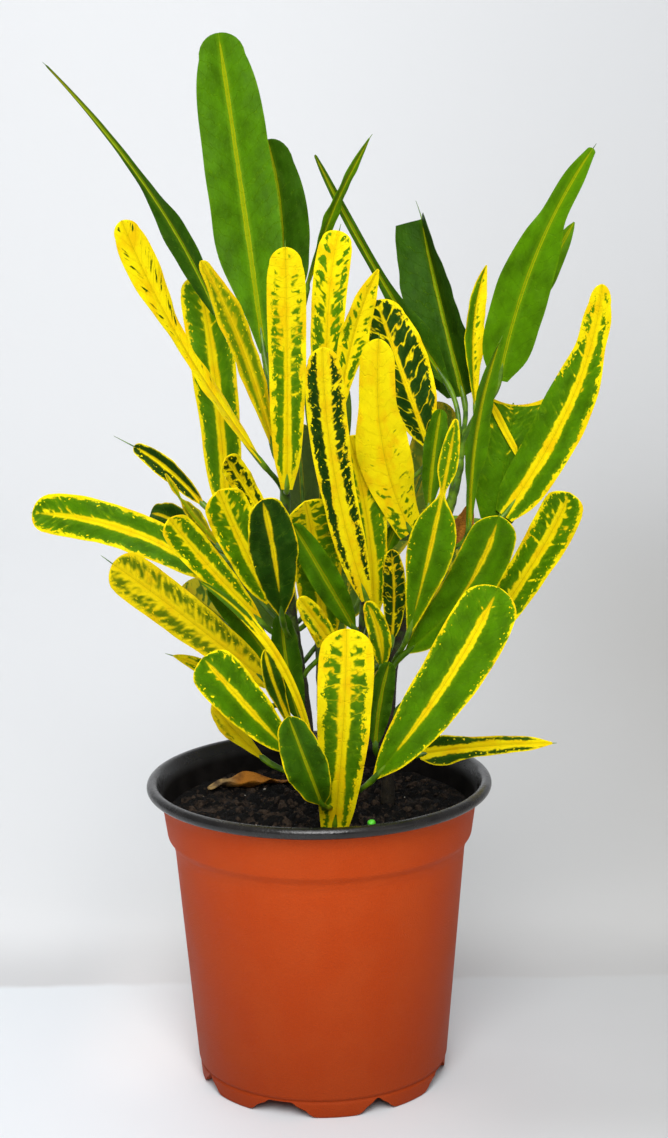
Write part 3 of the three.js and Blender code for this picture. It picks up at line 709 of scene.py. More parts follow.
def variegation_group():
    """A croton leaf: green between a yellow midrib and margin, broken along the side veins."""
    found = bpy.data.node_groups.get("Variegation")
    if found:
        return found
    made, given, out = new_group(
        "Variegation", "ShaderNodeTree",
        {**dict.fromkeys(LEAF_VALUES, "Vector"), **dict.fromkeys(LEAF_COLOURS, "Color")},
        {"Color": "Color", "Height": "Float"})
    minus, times, scaled, ramp, mixed, maths = (
        made.minus, made.times, made.scaled, made.ramp, made.mixed, made.maths)
    side, along, half = made.parts(given["Place"])
    greenness, tone, seed = made.parts(given["Look"])
    rib, margin, vein = made.parts(given["Trim"])
    gold, pitch, sheen = made.parts(given["Grade"])
    soft, slant, noisy = made.parts(given["Form"])

    # Distances from the midrib and the margin in millimetres, and the ragged noise that shifts them.
    x = times(side, half)
    off = maths("ABSOLUTE", x)
    inward = minus(half, off)
    place = made.joined(x, times(along, 0.6), times(seed, 31.0))
    broad = times(minus(made.cloud(place, 2.6, 3.0), 0.5), noisy)
    fine = times(minus(made.cloud(place, 0.8, 2.0), 0.5), noisy)
    ragged = scaled(fine, 1.2, times(broad, 2.4))
    past_rib = minus(off, times(rib, scaled(ragged, 0.35, 1.0)))
    past_margin = minus(inward, times(margin, scaled(ragged, 1.3, 1.0)))

    # The side veins, which rise toward the margin, and the blocks of green between them.
    rise = minus(along, times(off, slant))
    block_place = made.joined(times(x, 0.75), rise, times(seed, 17.0))
    climb = maths("DIVIDE", rise, pitch)
    blocks = times(minus(made.cloud(block_place, 2.2, 0.6), 0.5), noisy)
    count = made.plus(scaled(blocks, 1.1, climb), seed)
    from_middle = maths("ABSOLUTE", minus(maths("FRACT", count), 0.5))
    past_vein = minus(times(minus(0.5, from_middle), times(pitch, 0.8)), scaled(ragged, 0.2, vein))

    # How much green there is: most of it is halfway between midrib and margin, and specks near the margin
    # take some away.
    room = maths("MAXIMUM", minus(half, maths("MAXIMUM", rib, 0.0)), 0.6)
    centred = maths("ABSOLUTE", scaled(maths("DIVIDE", past_rib, room), 2.0, -1.0))
    fill = scaled(minus(greenness, 0.5), 2.4, scaled(broad, 1.2, times(fine, 0.8)))
    fill = scaled(blocks, 5.4, minus(fill, times(centred, 1.2)))
    specks = ramp(made.cloud(place, 0.9, 0.6), 0.64, 0.71)
    near_margin = times(ramp(inward, 5.0, 0.8), ramp(margin, 0.0, 0.5))
    fill = minus(fill, times(times(specks, near_margin), 4.0))
    inside = maths("SMOOTH_MIN", past_rib, past_margin, 0.9)
    inside = maths("SMOOTH_MIN", inside, past_vein, 1.1)
    inside = maths("MINIMUM", inside, fill)
    mask = ramp(inside, times(soft, -1.0), soft)

    # The green, from dark to light, lighter along its edge, its side veins and its dots, with a painted sheen
    # of pale green in soft patches.
    patch = made.cloud(place, 6.0, 3.0)
    green = mixed(ramp(tone, 0.0, 0.5), given["Dark Green"], given["Green"])
    green = mixed(ramp(tone, 0.5, 1.0), green, given["Light Green"])
    green = mixed(1.0, green, scaled(patch, 1.5, 0.33), "MULTIPLY")
    fringe = times(ramp(inside, 2.0, 0.3), scaled(ramp(tone, 0.05, 0.4), 0.4, 0.06))
    line = ramp(from_middle, 0.45, 0.5)
    dots = ramp(made.cloud(place, 0.55, 1.0), 0.66, 0.76)
    # Painted sheen: pale green in soft patches, as strong as the look's sheen gives.
    painted_sheen = times(ramp(made.cloud(place, 4.0, 4.0), 0.45, 0.75), times(sheen, 0.3))
    for share in (fringe, times(line, 0.14), times(dots, scaled(tone, 0.5, 0.05))):
        green = mixed(share, green, given["Light Green"])
    green = mixed(painted_sheen, green, PAINTED_SHEEN_TINT)

    # The yellow, deeper in patches and along the midrib, and the midrib's own colour and groove.
    yellow = mixed(ramp(patch, 0.42, 0.72), given["Yellow"], given["Amber"])
    yellow = mixed(times(ramp(off, 1.6, 0.0), 0.35), yellow, given["Amber"])
    dull = ramp(soft, 0.5, 1.0)
    green = mixed(times(dull, 0.45), green, DULL_GREEN)
    yellow = mixed(times(dull, 0.5), yellow, DULL_YELLOW)
    midrib = mixed(gold, given["Light Green"], yellow)
    ground = mixed(ramp(past_rib, 0.25, -0.25), yellow, midrib)
    ground = mixed(times(ramp(off, 0.3, 0.08), 0.24), ground, given["Green"])
    made.put(out["Color"], mixed(mask, ground, green))
    height = scaled(ramp(off, 0.9, 0.0), -0.3, times(line, -0.14))
    made.put(out["Height"], scaled(fine, 0.16, scaled(broad, 0.3, height)))
    return made.tree


# Materials

def plastic_material(name, first, second, patch, grain, roughness, depth, gloss,
                     painted_foot_shade=1.0, low_gloss=None):
    """Moulded plastic, darkened toward the foot by painted shade to the share given for the foot, and dulled
    below the pot's lip by low_gloss.
    """
    made = Surface(name)
    look = made.weathered(first, second, patch, grain)
    height = made.parts(made.place)[2]
    # Painted shade: the colour is multiplied by a share that rises from the foot's share at the bottom to 1 at
    # the top of the shade.
    shade = made.add("ShaderNodeMapRange",
                     {"Value": height, "From Min": 0.0, "From Max": POT_PAINTED_SHADE_TOP, "To Min": painted_foot_shade})
    tint = made.mixed(1.0, look["Color"], shade.outputs[0], "MULTIPLY")
    rough = made.scaled(look["Patches"], 0.08, roughness)
    if low_gloss is not None:
        below = made.ramp(height, SHINE_TO, SHINE_FROM)
        rough = made.scaled(below, 0.4, rough)
        gloss = made.scaled(below, low_gloss - gloss, gloss)
    return made.finished(tint, rough, look["Grain"], depth, gloss)


def soil_material(name, dark, pale, coverage):
    made = Surface(name)
    look = made.weathered(dark, pale, 0.0055, 0.0006, coverage)
    return made.finished(look["Color"], 0.88, made.cloud(made.place, 0.0015, 7.0), 0.0045, gloss=0.2)


def grain_material(name, tint, shade, patch, grain, roughness, depth):
    """The mineral flecks and the feed bead: one colour, darker by the share shade in patches."""
    made = Surface(name)
    look = made.weathered(tint, shade_of(tint, shade), patch, grain)
    return made.finished(look["Color"], roughness, look["Grain"], depth)


def leaf_material(name, settings, paleness, roughness, gloss):
    """The upper face of the leaves, or with more paleness the underside."""
    made = Surface(name)
    inputs = {}
    for label in LEAF_VALUES:
        inputs[label] = made.add("ShaderNodeAttribute", attribute_name=label.lower()).outputs["Vector"]
    for label in LEAF_COLOURS:
        inputs[label] = rgba(getattr(settings, label.lower().replace(" ", "_")))
    look = made.add("ShaderNodeGroup", inputs, node_tree=variegation_group()).outputs
    tint = made.mixed(paleness, look["Color"], (0.3, 0.36, 0.12, 1)) if paleness else look["Color"]
    rough = made.scaled(made.cloud(made.place, 0.004, 3.0), 0.2, roughness - 0.1)
    made.tree.nodes["Principled BSDF"].inputs["Specular Tint"].default_value = (0.55, 1, 0.35, 1)
    return made.finished(tint, rough, look["Height"], 0.001, gloss, strength=0.8)


def dry_material(name, settings, patch=0.006, tan_until=None):
    """A dry leaf, and with tan_until one that is paler on its -X side up to that place in metres."""
    made = Surface(name)
    look = made.weathered(settings.dry, settings.dry_dark, patch, 0.0008, 0.4)
    tint = look["Color"]
    if tan_until is not None:
        pale = made.weathered((0.42, 0.27, 0.1), (0.08, 0.05, 0.025), 0.005, 0.0008)
        share = made.ramp(made.parts(made.place)[0], tan_until - 0.004, tan_until + 0.004)
        tint = made.mixed(share, pale["Color"], tint)
    return made.finished(tint, 0.72, look["Grain"], 0.0006, gloss=0.2)


def stalk_material(settings):
    """Green petioles that turn into brown bark on the stems."""
    made = Surface("stalks")
    skin = made.weathered(settings.light_green, shade_of(settings.green, 0.7), 0.006, 0.0008)
    bark = made.weathered(settings.bark, shade_of(settings.bark, 2.2), 0.003, 0.0007, 0.4)
    age = made.add("ShaderNodeAttribute", attribute_name="bark").outputs["Fac"]
    share = made.ramp(made.plus(age, made.times(made.minus(bark["Patches"], 0.5), 0.3)), 0.3, 0.8)
    tint = made.mixed(share, skin["Color"], bark["Color"])
    return made.finished(tint, made.scaled(share, 0.3, 0.42), made.times(bark["Grain"], share), 0.0007)


def floor_material(settings):
    """White in front and the backdrop's colour behind the soft line where the sweep begins, with painted shade
    toward the right and in a band just behind the line, a painted shadow to the right of the pot and painted
    light just left of it.
    """
    made = Surface("paper_sweep")
    ramp, times = made.ramp, made.times
    across, away, _ = made.parts(made.place)
    fibre = made.cloud(made.place, 0.03, 4.0)
    line = made.scaled(fibre, 0.01, away)
    back = ramp(line, FLOOR_LINE, 0.1)
    # Painted shade in a band just behind the line.
    painted_shade_behind_line = times(back, ramp(line, 0.18, FLOOR_LINE))
    # Painted shade: darker toward the right, on the floor and the lower sweep.
    painted_shade_right = times(ramp(across, -0.15, 0.35), ramp(line, 2.2, 0.6))
    # Painted shadow on the floor to the right of the pot.
    painted_shadow_beside_pot = times(ramp(across, 0.02, 0.09), made.minus(ramp(line, -0.1, -0.03), back))
    # Painted light on the floor just left of the pot.
    painted_light_left_of_pot = times(times(ramp(across, -0.12, -0.068), ramp(across, 0.02, -0.02)),
                        times(ramp(line, -0.04, 0.03), ramp(line, 0.35, 0.12)))
    tint = made.mixed(back, rgba(settings.floor), rgba(settings.backdrop))
    for where, share, grey in ((painted_shade_right, 0.95, (0.5, 0.49, 0.47)), (painted_shade_behind_line, 0.34, (0.3, 0.3, 0.3)),
                               (painted_shadow_beside_pot, 0.36, (0.42, 0.42, 0.42)), (painted_light_left_of_pot, 0.6, (1, 1, 1))):
        tint = made.mixed(times(where, share), tint, rgba(grey))
    return made.finished(tint, 0.9, fibre, 0.0003, gloss=0.1)


# Geometry Nodes trees

def painted(made, geometry, material, out):
    """Ends a tree: the geometry with its material."""
    last = made.add("GeometryNodeSetMaterial", {"Geometry": geometry, "Material": material})
    made.put(out, last.outputs[0])
    return made.tree


def stalk_tree():
    """Round tapered stalks along the edges of a mesh, each point with its own thickness."""
    made, given, out = new_group(
        "Tapered stalks", "GeometryNodeTree",
        {"Lines": "Geometry", "Sides": 8, "Thickness": 1.0, "Material": "Material"}, {"Stalks": "Geometry"})
    curves = made.add("GeometryNodeMeshToCurve", {"Mesh": given["Lines"]})
    ring = made.add("GeometryNodeCurvePrimitiveCircle", {"Resolution": given["Sides"], "Radius": 1.0})
    radius = made.add("GeometryNodeInputNamedAttribute", {"Name": "stalk_radius"}, data_type="FLOAT")
    scale = made.times(radius.outputs["Attribute"], given["Thickness"])
    tube = made.add("GeometryNodeCurveToMesh", {"Curve": curves.outputs[0], "Profile Curve": ring.outputs[0],
                                                "Scale": scale, "Fill Caps": True})
    soft = made.add("GeometryNodeSetShadeSmooth", {"Geometry": tube.outputs[0]})
    real = made.add("GeometryNodeRealizeInstances", {"Geometry": soft.outputs[0]})
    return painted(made, real.outputs[0], given["Material"], out["Stalks"])


def scatter_tree():
    """Irregular crumbs scattered over a surface, most of them small."""
    made, given, out = new_group(
        "Scattered crumbs", "GeometryNodeTree",
        {"Surface": "Geometry", "Density": 1000.0, "Smallest": 0.0003, "Largest": 0.0013, "Detail": 2,
         "Seed": 0, "Material": "Material"}, {"Crumbs": "Geometry"})

    def random(low, high, seed, kind):
        node = made.add("FunctionNodeRandomValue", {"Min": low, "Max": high, "Seed": seed}, data_type=kind)
        return next(o for o in node.outputs if o.enabled)

    def vectors(operation, inputs):
        return made.add("ShaderNodeVectorMath", inputs, operation=operation).outputs[0]

    points = made.add("GeometryNodeDistributePointsOnFaces",
                      {"Mesh": given["Surface"], "Density": given["Density"], "Seed": given["Seed"]})
    lump = made.add("GeometryNodeMeshIcoSphere", {"Radius": 1.0, "Subdivisions": given["Detail"]})
    share = made.maths("POWER", random(0.0, 1.0, given["Seed"], "FLOAT"), 3.0)
    size = made.add("ShaderNodeMapRange",
                    {"Value": share, "To Min": given["Smallest"], "To Max": given["Largest"]}).outputs[0]
    squash = random((0.7, 0.7, 0.45), (1.2, 1.2, 0.9), 3, "FLOAT_VECTOR")
    turn = random((-3.1, -3.1, -3.1), (3.1, 3.1, 3.1), 5, "FLOAT_VECTOR")
    lumps = made.add("GeometryNodeInstanceOnPoints",
                     {"Points": points.outputs["Points"], "Instance": lump.outputs["Mesh"],
                      "Rotation": turn, "Scale": vectors("SCALE", {0: squash, "Scale": size})})
    real = made.add("GeometryNodeRealizeInstances", {"Geometry": lumps.outputs[0]})
    shift = made.add("ShaderNodeTexNoise", {"Scale": 900.0, "Detail": 1.0}).outputs["Color"]
    centred = vectors("SUBTRACT", {0: shift, 1: (0.5, 0.5, 0.5)})
    spread = vectors("SCALE", {0: centred, "Scale": made.times(given["Largest"], 1.1)})
    rough = made.add("GeometryNodeSetPosition", {"Geometry": real.outputs[0], "Offset": spread})
    return painted(made, rough.outputs[0], given["Material"], out["Crumbs"])


def grown(obj, name, tree, **values):
    """The object with a Geometry Nodes tree run on it, as a plain mesh object."""
    modifier = obj.modifiers.new("Nodes", "NODES")
    modifier.node_group = tree
    for item in tree.interface.items_tree:
        if item.item_type == "SOCKET" and item.in_out == "INPUT" and item.name in values:
            modifier[item.identifier] = values[item.name]
    obj.update_tag()
    return baked(obj, name)


# The pot

def revolved(profile, sides):
    """Points and faces of a (radius, height) profile turned about Z, from and back to the axis."""
    points, faces, rows = [], [], []
    for r, z in profile:
        if r < 1e-6:
            rows.append([len(points)] * sides)
            points.append((0, 0, z))
            continue
        rows.append(list(range(len(points), len(points) + sides)))
        points += [(r * math.cos(2 * math.pi * k / sides), r * math.sin(2 * math.pi * k / sides), z)
                   for k in range(sides)]
    for low, high in zip(rows, rows[1:]):
        for k in range(sides):
            m = (k + 1) % sides
            corners = [low[k], low[m], high[m], high[k]]
            faces.append(list(dict.fromkeys(corners)))
    return points, faces


def rounded(profile, size, steps=3):
    """The profile with each of its inner corners rounded off."""
    made = [profile[0]]
    for before, at, after in zip(profile, profile[1:], profile[2:]):
        before, at, after = (np.array(p, float) for p in (before, at, after))
        reach = min(size, 0.42 * np.linalg.norm(at - before), 0.42 * np.linalg.norm(after - at))
        a, c = at + unit(before - at) * reach, at + unit(after - at) * reach
        for k in range(steps + 1):
            u = k / steps
            made.append(tuple(a * (1 - u) ** 2 + at * 2 * u * (1 - u) + c * u * u))
    return made + [profile[-1]]


def cutter(points, faces):
    """A closed tool for a boolean cut, its faces outward."""
    mesh = mesh_from("cutter", points, faces)
    work = bmesh.new()
    work.from_mesh(mesh)
    bmesh.ops.recalc_face_normals(work, faces=work.faces)
    work.to_mesh(mesh)
    work.free()
    return new_object("cutter", mesh)


def around(azimuth, x, depth):
    """The place in plan at x along the wall and depth from the axis, on the side at that azimuth."""
    turn = math.radians(azimuth)
    return x * math.cos(turn) + depth * math.sin(turn), x * math.sin(turn) - depth * math.cos(turn)


def notch_cutter(notch, azimuth):
    """A wedge through the foot ring, wider at the bottom, where it rounds off the feet on either side."""
    low, high = (notch["width"] + notch["flare"]) / 2, (notch["width"] - notch["flare"]) / 2
    flank = [(low + 9, -0.5), (low + 6.6, 0.15), (low + 4.6, 0.8), (low + 3, 1.9), (low + 1.8, 3.2),
             (high + 1.0, FOOT_HEIGHT - 1.9), (high + 0.3, FOOT_HEIGHT - 1.1),
             (high - 0.8, FOOT_HEIGHT - 0.6)]
    outline = flank + [(-x, z) for x, z in reversed(flank)]
    points = [(*around(azimuth, x, depth), z)
              for depth in (FOOT_RADIUS - 2 * FOOT_RING, FOOT_RADIUS + FOOT_RING) for x, z in outline]
    n = len(outline)
    faces = [list(range(n)), list(range(2 * n - 1, n - 1, -1))]
    faces += [[k, k + n, (k + 1) % n + n, (k + 1) % n] for k in range(n)]
    return cutter(points, faces)


def drain_cutter(azimuth):
    """A rod through the pot's floor."""
    x, y = around(azimuth, 0, DRAIN_HOLE["ring"])
    low, high, radius = FOOT_HEIGHT - 1, FOOT_HEIGHT + WALL + 1, DRAIN_HOLE["radius"]
    points, faces = revolved([(0, low), (radius, low), (radius, high), (0, high)], DRAIN_HOLE["sides"])
    return cutter([(px + x, py + y, pz) for px, py, pz in points], faces)


def pot_profiles():
    """The pot's orange outside, its rolled lip and its black inside, as pairs of radius and height."""
    radius, height = LIP_RADIUS - LIP_ROLL, POT_HEIGHT - LIP_ROLL
    lip = [(radius + LIP_ROLL * math.cos(math.radians(a)), height + LIP_ROLL * math.sin(math.radians(a)))
           for a in range(-132, 152, 14)]
    ring = FOOT_RADIUS - FOOT_RING
    outer = [(0, FOOT_HEIGHT), (ring, FOOT_HEIGHT), (ring, 0), (FOOT_RADIUS - 0.3, 0),
             (FOOT_RADIUS + 0.25, FOOT_HEIGHT - 0.9), (FOOT_RADIUS - 0.35, FOOT_HEIGHT),
             (WALL_FOOT_RADIUS, FOOT_HEIGHT + 1.2), (WALL_TOP_RADIUS, SHOULDER),
             (WALL_TOP_RADIUS + 0.9, COLLAR_FOOT - 2.4), (COLLAR_RADIUS, COLLAR_FOOT + 0.4),
             (COLLAR_RADIUS + 1.8, POT_HEIGHT - 9.5), (COLLAR_RADIUS + 2.6, POT_HEIGHT - 7), lip[0]]
    inner = [lip[-1], (COLLAR_RADIUS + 1.2, POT_HEIGHT - 7), (COLLAR_RADIUS - 0.9, COLLAR_FOOT + 2.6),
             (WALL_TOP_RADIUS - 0.6, COLLAR_FOOT - 2), (WALL_TOP_RADIUS - WALL, SHOULDER),
             (WALL_FOOT_RADIUS - WALL, FOOT_HEIGHT + WALL), (0, FOOT_HEIGHT + WALL)]
    return rounded(outer, EDGE_ROUNDING), lip[1:-1], rounded(inner, EDGE_ROUNDING)


class CROTON_OT_pot(bpy.types.Operator):
    """Turn the pot's wall with its rolled lip and collar, and cut the foot's notches and drain holes"""

    bl_idname = "croton.pot"
    bl_label = "Pot"

    def execute(self, context):
        settings = context.scene.croton_pot
        outer, lip, inner = pot_profiles()
        points, faces = revolved(outer + lip + inner, settings.sides)
        black_from = (len(outer) - 1) * settings.sides
        slots = [0 if n < black_from else 1 for n in range(len(faces))]
        # The orange plastic has painted shade that darkens it toward the foot.
        orange = plastic_material(
            "outer_plastic", settings.outside, settings.outside_worn, patch=0.018, grain=settings.grain,
            roughness=0.5, depth=0.00035, gloss=0.1, painted_foot_shade=0.62)
        black = plastic_material(
            "inner_plastic", settings.inside, shade_of(settings.inside, 1.8), patch=0.008, grain=0.0009,
            roughness=0.2, depth=0.00012, gloss=0.48, low_gloss=0.05)
        pot = new_object("pot_shell", mesh_from("pot_shell", points, faces, (orange, black), slots))
        cutters = []
        for k in range(360 // NOTCH_PITCH):
            for notch in (WIDE_NOTCH, NARROW_NOTCH):
                azimuth = notch["at"] + k * NOTCH_PITCH
                cutters += [notch_cutter(notch, azimuth), drain_cutter(azimuth)]
        for tool in cutters:
            tool.data.materials.append(orange)
            cut = pot.modifiers.new("Cut", "BOOLEAN")
            cut.operation, cut.solver, cut.object = "DIFFERENCE", "EXACT", tool
        pot = baked(pot, "pot_shell_cut")
        for tool in cutters:
            bpy.data.objects.remove(tool)
        pot.data.set_sharp_from_angle(angle=POT_SHARP_EDGE)
        settle(pot, "pot", "pot")
        return {"FINISHED"}


# The soil

def soil_top(x, y):
    """The soil's height without its clods."""
    mound = 1.5 * math.exp(-((x + 10) ** 2 + y ** 2) / 900)
    return (SOIL_LEVEL + mound + SOIL_WAVE * math.sin(0.31 * x + 1) * math.cos(0.27 * y)
            + 0.4 * math.sin(0.7 * y + 0.5 * x))


def soil_surface(x, y, clods):
    """The soil's height with its clods, which die out toward the wall, and a heap at the front left."""
    edge = max(0.0, min(1.0, (CLOD_REACH - math.hypot(x, y)) / 4))
    large = 0.5 - abs(noise.fractal(Vector((x / 6.5, y / 6.5, 0.3)), 1.0, 2.1, 3)) * 1.6
    small = 0.3 - abs(noise.noise(Vector((x / 2.4, y / 2.4, 5.1)))) * 1.5
    heap = math.exp(-(((x + 24) / 13) ** 2 + ((y + 22) / 12) ** 2))
    return soil_top(x, y) + edge * (clods * (large + 0.45 * small) + 1.6 * heap)


def soil_patch(radius, clods, rings=24, sides=72):
    """A round sheet just under the soil's surface, for crumbs to be scattered on."""
    points = [(0, 0, soil_surface(0, 0, clods))]
    for i in range(1, rings + 1):
        for k in range(sides):
            a, r = 2 * math.pi * k / sides, radius * i / rings
            x, y = r * math.cos(a), r * math.sin(a)
            points.append((x, y, soil_surface(x, y, clods) - 0.1))
    faces = [[0, 1 + k, 1 + (k + 1) % sides] for k in range(sides)]
    for i in range(rings - 1):
        for k in range(sides):
            a, b = 1 + i * sides + k, 1 + i * sides + (k + 1) % sides
            faces.append([a, a + sides, b + sides, b])
    return new_object("patch", mesh_from("patch", points, faces))


def bead_mesh(clods):
    """A slightly dented ball of slow feed that rests on the soil."""
    x, y = BEAD["at"]
    centre = Vector((x, y, soil_surface(x, y, clods) + BEAD["rise"])) * MM
    work = bmesh.new()
    bmesh.ops.create_icosphere(work, subdivisions=4, radius=BEAD["radius"] * MM)
    for vert in work.verts:
        dent = 1 + 0.06 * noise.noise(vert.co * 900)
        vert.co = Vector((vert.co.x * dent, vert.co.y * dent, vert.co.z * BEAD["height"] * dent)) + centre
    mesh = bpy.data.meshes.new("feed_bead")
    work.to_mesh(mesh)
    work.free()
    return mesh


class CROTON_OT_soil(bpy.types.Operator):
    """Fill the pot with soil whose top is broken into clods"""

    bl_idname = "croton.soil"
    bl_label = "Soil"

    def execute(self, context):
        settings = context.scene.croton_soil
        edge = COLLAR_RADIUS + 0.1 - SOIL_GAP
        under = [(0, FOOT_HEIGHT + WALL + SOIL_GAP),
                 (WALL_FOOT_RADIUS - WALL - SOIL_GAP, FOOT_HEIGHT + WALL + SOIL_GAP),
                 (WALL_TOP_RADIUS - WALL - SOIL_GAP, SHOULDER),
                 (WALL_TOP_RADIUS - 0.6 - SOIL_GAP, COLLAR_FOOT - 1.6),
                 (COLLAR_RADIUS - 1 - SOIL_GAP, COLLAR_FOOT + 3.2), (edge, SOIL_LEVEL)]
        top = [(edge * (1 - k / settings.rings), SOIL_LEVEL) for k in range(1, settings.rings + 1)]
        points, faces = revolved(under + top, SOIL_SIDES)
        clods = settings.roughness / MM
        raised = []
        for x, y, z in points:
            inside = z == SOIL_LEVEL and math.hypot(x, y) < edge - 0.1
            raised.append((x, y, soil_surface(x, y, clods) if inside else z))
        dark = soil_material("damp_soil", settings.dark, settings.pale, 0.34)
        soil = new_object("soil_fill", mesh_from("soil_fill", raised, faces, (dark,)))
        settle(soil, "soil", "soil")
        return {"FINISHED"}


class CROTON_OT_crumbs(bpy.types.Operator):
    """Scatter loose crumbs, white mineral flecks and a feed bead over the soil"""

    bl_idname = "croton.crumbs"
    bl_label = "Crumbs and flecks"

    def execute(self, context):
        settings = context.scene.croton_soil
        clods = settings.roughness / MM
        tree = scatter_tree()
        crumbs = grown(
            soil_patch(CRUMB_REACH, clods), "soil_crumbs", tree, Density=settings.crumb_density,
            Smallest=CRUMB_SMALLEST, Largest=settings.crumb_size, Detail=CRUMB_DETAIL, Seed=settings.seed,
            Material=soil_material("loose_crumb", settings.dark, settings.pale, 0.55))
        flecks = grown(
            soil_patch(FLECK_REACH, clods), "mineral_flecks", tree,
            Density=settings.crumb_density / CRUMBS_PER_FLECK, Smallest=CRUMB_SMALLEST,
            Largest=FLECK_LARGEST, Detail=CRUMB_DETAIL, Seed=settings.seed + 4,
            Material=grain_material("mineral_fleck", settings.fleck, 0.55, 0.0012, 0.0003, 0.8, 0.0004))
        bead = new_object("feed_bead", bead_mesh(clods))
        bead.data.materials.append(
            grain_material("feed_bead", settings.bead, 0.7, 0.0009, 0.0002, 0.35, 0.00012))
        for made in (crumbs, flecks, bead):
            smoothed(made.data)
            settle(made, "soil")
        return {"FINISHED"}


# Leaves

def closed_sheet(top, under):
    """Points and faces of a closed sheet from two grids of points, and how many faces are on top."""
    rows, columns = len(top), len(top[0])
    points = [p for row in top for p in row] + [p for row in under for p in row]

    def at(i, j, side):
        return (side * rows + i) * columns + j

    upper_faces, under_faces, rim = [], [], []
    for i in range(rows - 1):
        for j in range(columns - 1):
            upper_faces.append([at(i, j, 0), at(i, j + 1, 0), at(i + 1, j + 1, 0), at(i + 1, j, 0)])
            under_faces.append([at(i, j, 1), at(i + 1, j, 1), at(i + 1, j + 1, 1), at(i, j + 1, 1)])
        j = columns - 1
        rim.append([at(i, 0, 1), at(i, 0, 0), at(i + 1, 0, 0), at(i + 1, 0, 1)])
        rim.append([at(i, j, 0), at(i, j, 1), at(i + 1, j, 1), at(i + 1, j, 0)])
    for j in range(columns - 1):
        i = rows - 1
        rim.append([at(0, j, 0), at(0, j, 1), at(0, j + 1, 1), at(0, j + 1, 0)])
        rim.append([at(i, j, 0), at(i, j + 1, 0), at(i, j + 1, 1), at(i, j, 1)])
    return points, upper_faces + rim + under_faces, len(upper_faces) + len(rim)


def stations(rows, tip):
    """Places along a blade from 0 to 1, closer together where its tip is round."""
    body = [tip * k / rows for k in range(rows)]
    if tip == 1:
        return body + [1]
    return body + [tip + (1 - tip) * math.sin(math.radians(a)) for a in (0, 15, 30, 44, 57, 69, 79, 85)]


def rib_width(look, number, t):
    """Half width of the midrib at t, and less than nothing where it has faded out."""
    swell = min(1, max(0, (t - look.start) / 0.3)) * min(1, max(0, (look.end - t) / 0.12))
    return look.rib * (swell * (1.1 - 0.35 * t + 0.12 * math.sin(11 * t + number)) - 0.4 * (swell < 0.05))


def margin_width(look, s, t):
    """Width of the yellow margin at t on the side s, and less than nothing where there is none."""
    if look.capped:
        return CAP_WIDTH if t > 0.97 else -1
    if look.margin <= 0 or (look.bare * s > 0 and t < abs(look.bare)):
        return -1
    return look.margin * (0.8 + 0.4 * t)


def vein_width(look, t):
    """Width of the side veins at t."""
    return look.vein * (0.1 + 1.6 * t if look.vein > 0 else 1) - look.fade * (1 - t)


def blade_grids(leaf, number, settings):
    """The upper and lower grids of a blade, and for each of its points a triple for each of LEAF_VALUES."""
    look = LOOKS[leaf.look]
    foot_green, tip_green = look.green
    spine, tip, at = blade_frame(leaf)
    middle, margin, ripple = (v / MM for v in (settings.middle, settings.margin, settings.ripple))
    seed = 0.37 * number + 0.11 * (leaf.joint or 0)
    dip = WEB_DIP * spine.span() if leaf.shape == "web" else 0
    top, under, place, looks, trim, form = [], [], [], [], [], []
    run, before = 0.0, spine.point(0)
    for t in stations(settings.rows, tip):
        point, across, normal, half, lift = at(t)
        belly = math.sin(math.pi * t)
        nibble = [NIBBLE * (1 + math.sin(19 * t + 2.3 * number + k) * math.cos(8 * t + 1.7 * k))
                  for k in (0, 3)]
        run += float(np.linalg.norm(point - before))
        before = point
        upper_row, lower_row = [], []
        for s in np.linspace(-1, 1, settings.columns + 1):
            a = abs(s)
            fold = ((math.sqrt(s * s + FOLD_ROUNDING) - math.sqrt(FOLD_ROUNDING))
                    / (math.sqrt(1 + FOLD_ROUNDING) - math.sqrt(FOLD_ROUNDING)))
            wave = s * math.sin(2 * math.pi * WAVE_COUNT * t + number) * WAVE_HEIGHT * belly * a
            curl = ripple * a ** 3 * math.sin(45 * t + 2.1 * number + (1.3 if s > 0 else 0)) * belly
            pillow = PILLOW * half * math.sin(math.pi * a)
            rise = fold * half * math.sin(lift) + (wave + curl) * min(1, half / 5) + pillow
            trimmed = 1 - nibble[s > 0] * a * math.sin(math.pi * min(1, 1.3 * t)) ** 2
            centre = point + across * (s * half * trimmed * math.cos(lift)) + normal * rise
            centre = centre - np.cross(normal, across) * (dip * (1 - s * s) * t ** 8)
            thick = margin + (middle - margin) * (1 - a * a)
            upper_row.append(centre + normal * thick / 2)
            lower_row.append(centre - normal * thick / 2)
            place.append((s, run, half))
            looks.append((foot_green + (tip_green - foot_green) * t - look.lean * s, look.tone, seed))
            trim.append((rib_width(look, number, t), margin_width(look, s, t), vein_width(look, t)))
            form.append((look.soft, look.slant, look.noise))
        top.append(upper_row)
        under.append(lower_row)
    grade = [(look.gold, look.pitch, look.sheen)] * len(place)
    return top, under, [values * 2 for values in (place, looks, trim, grade, form)]


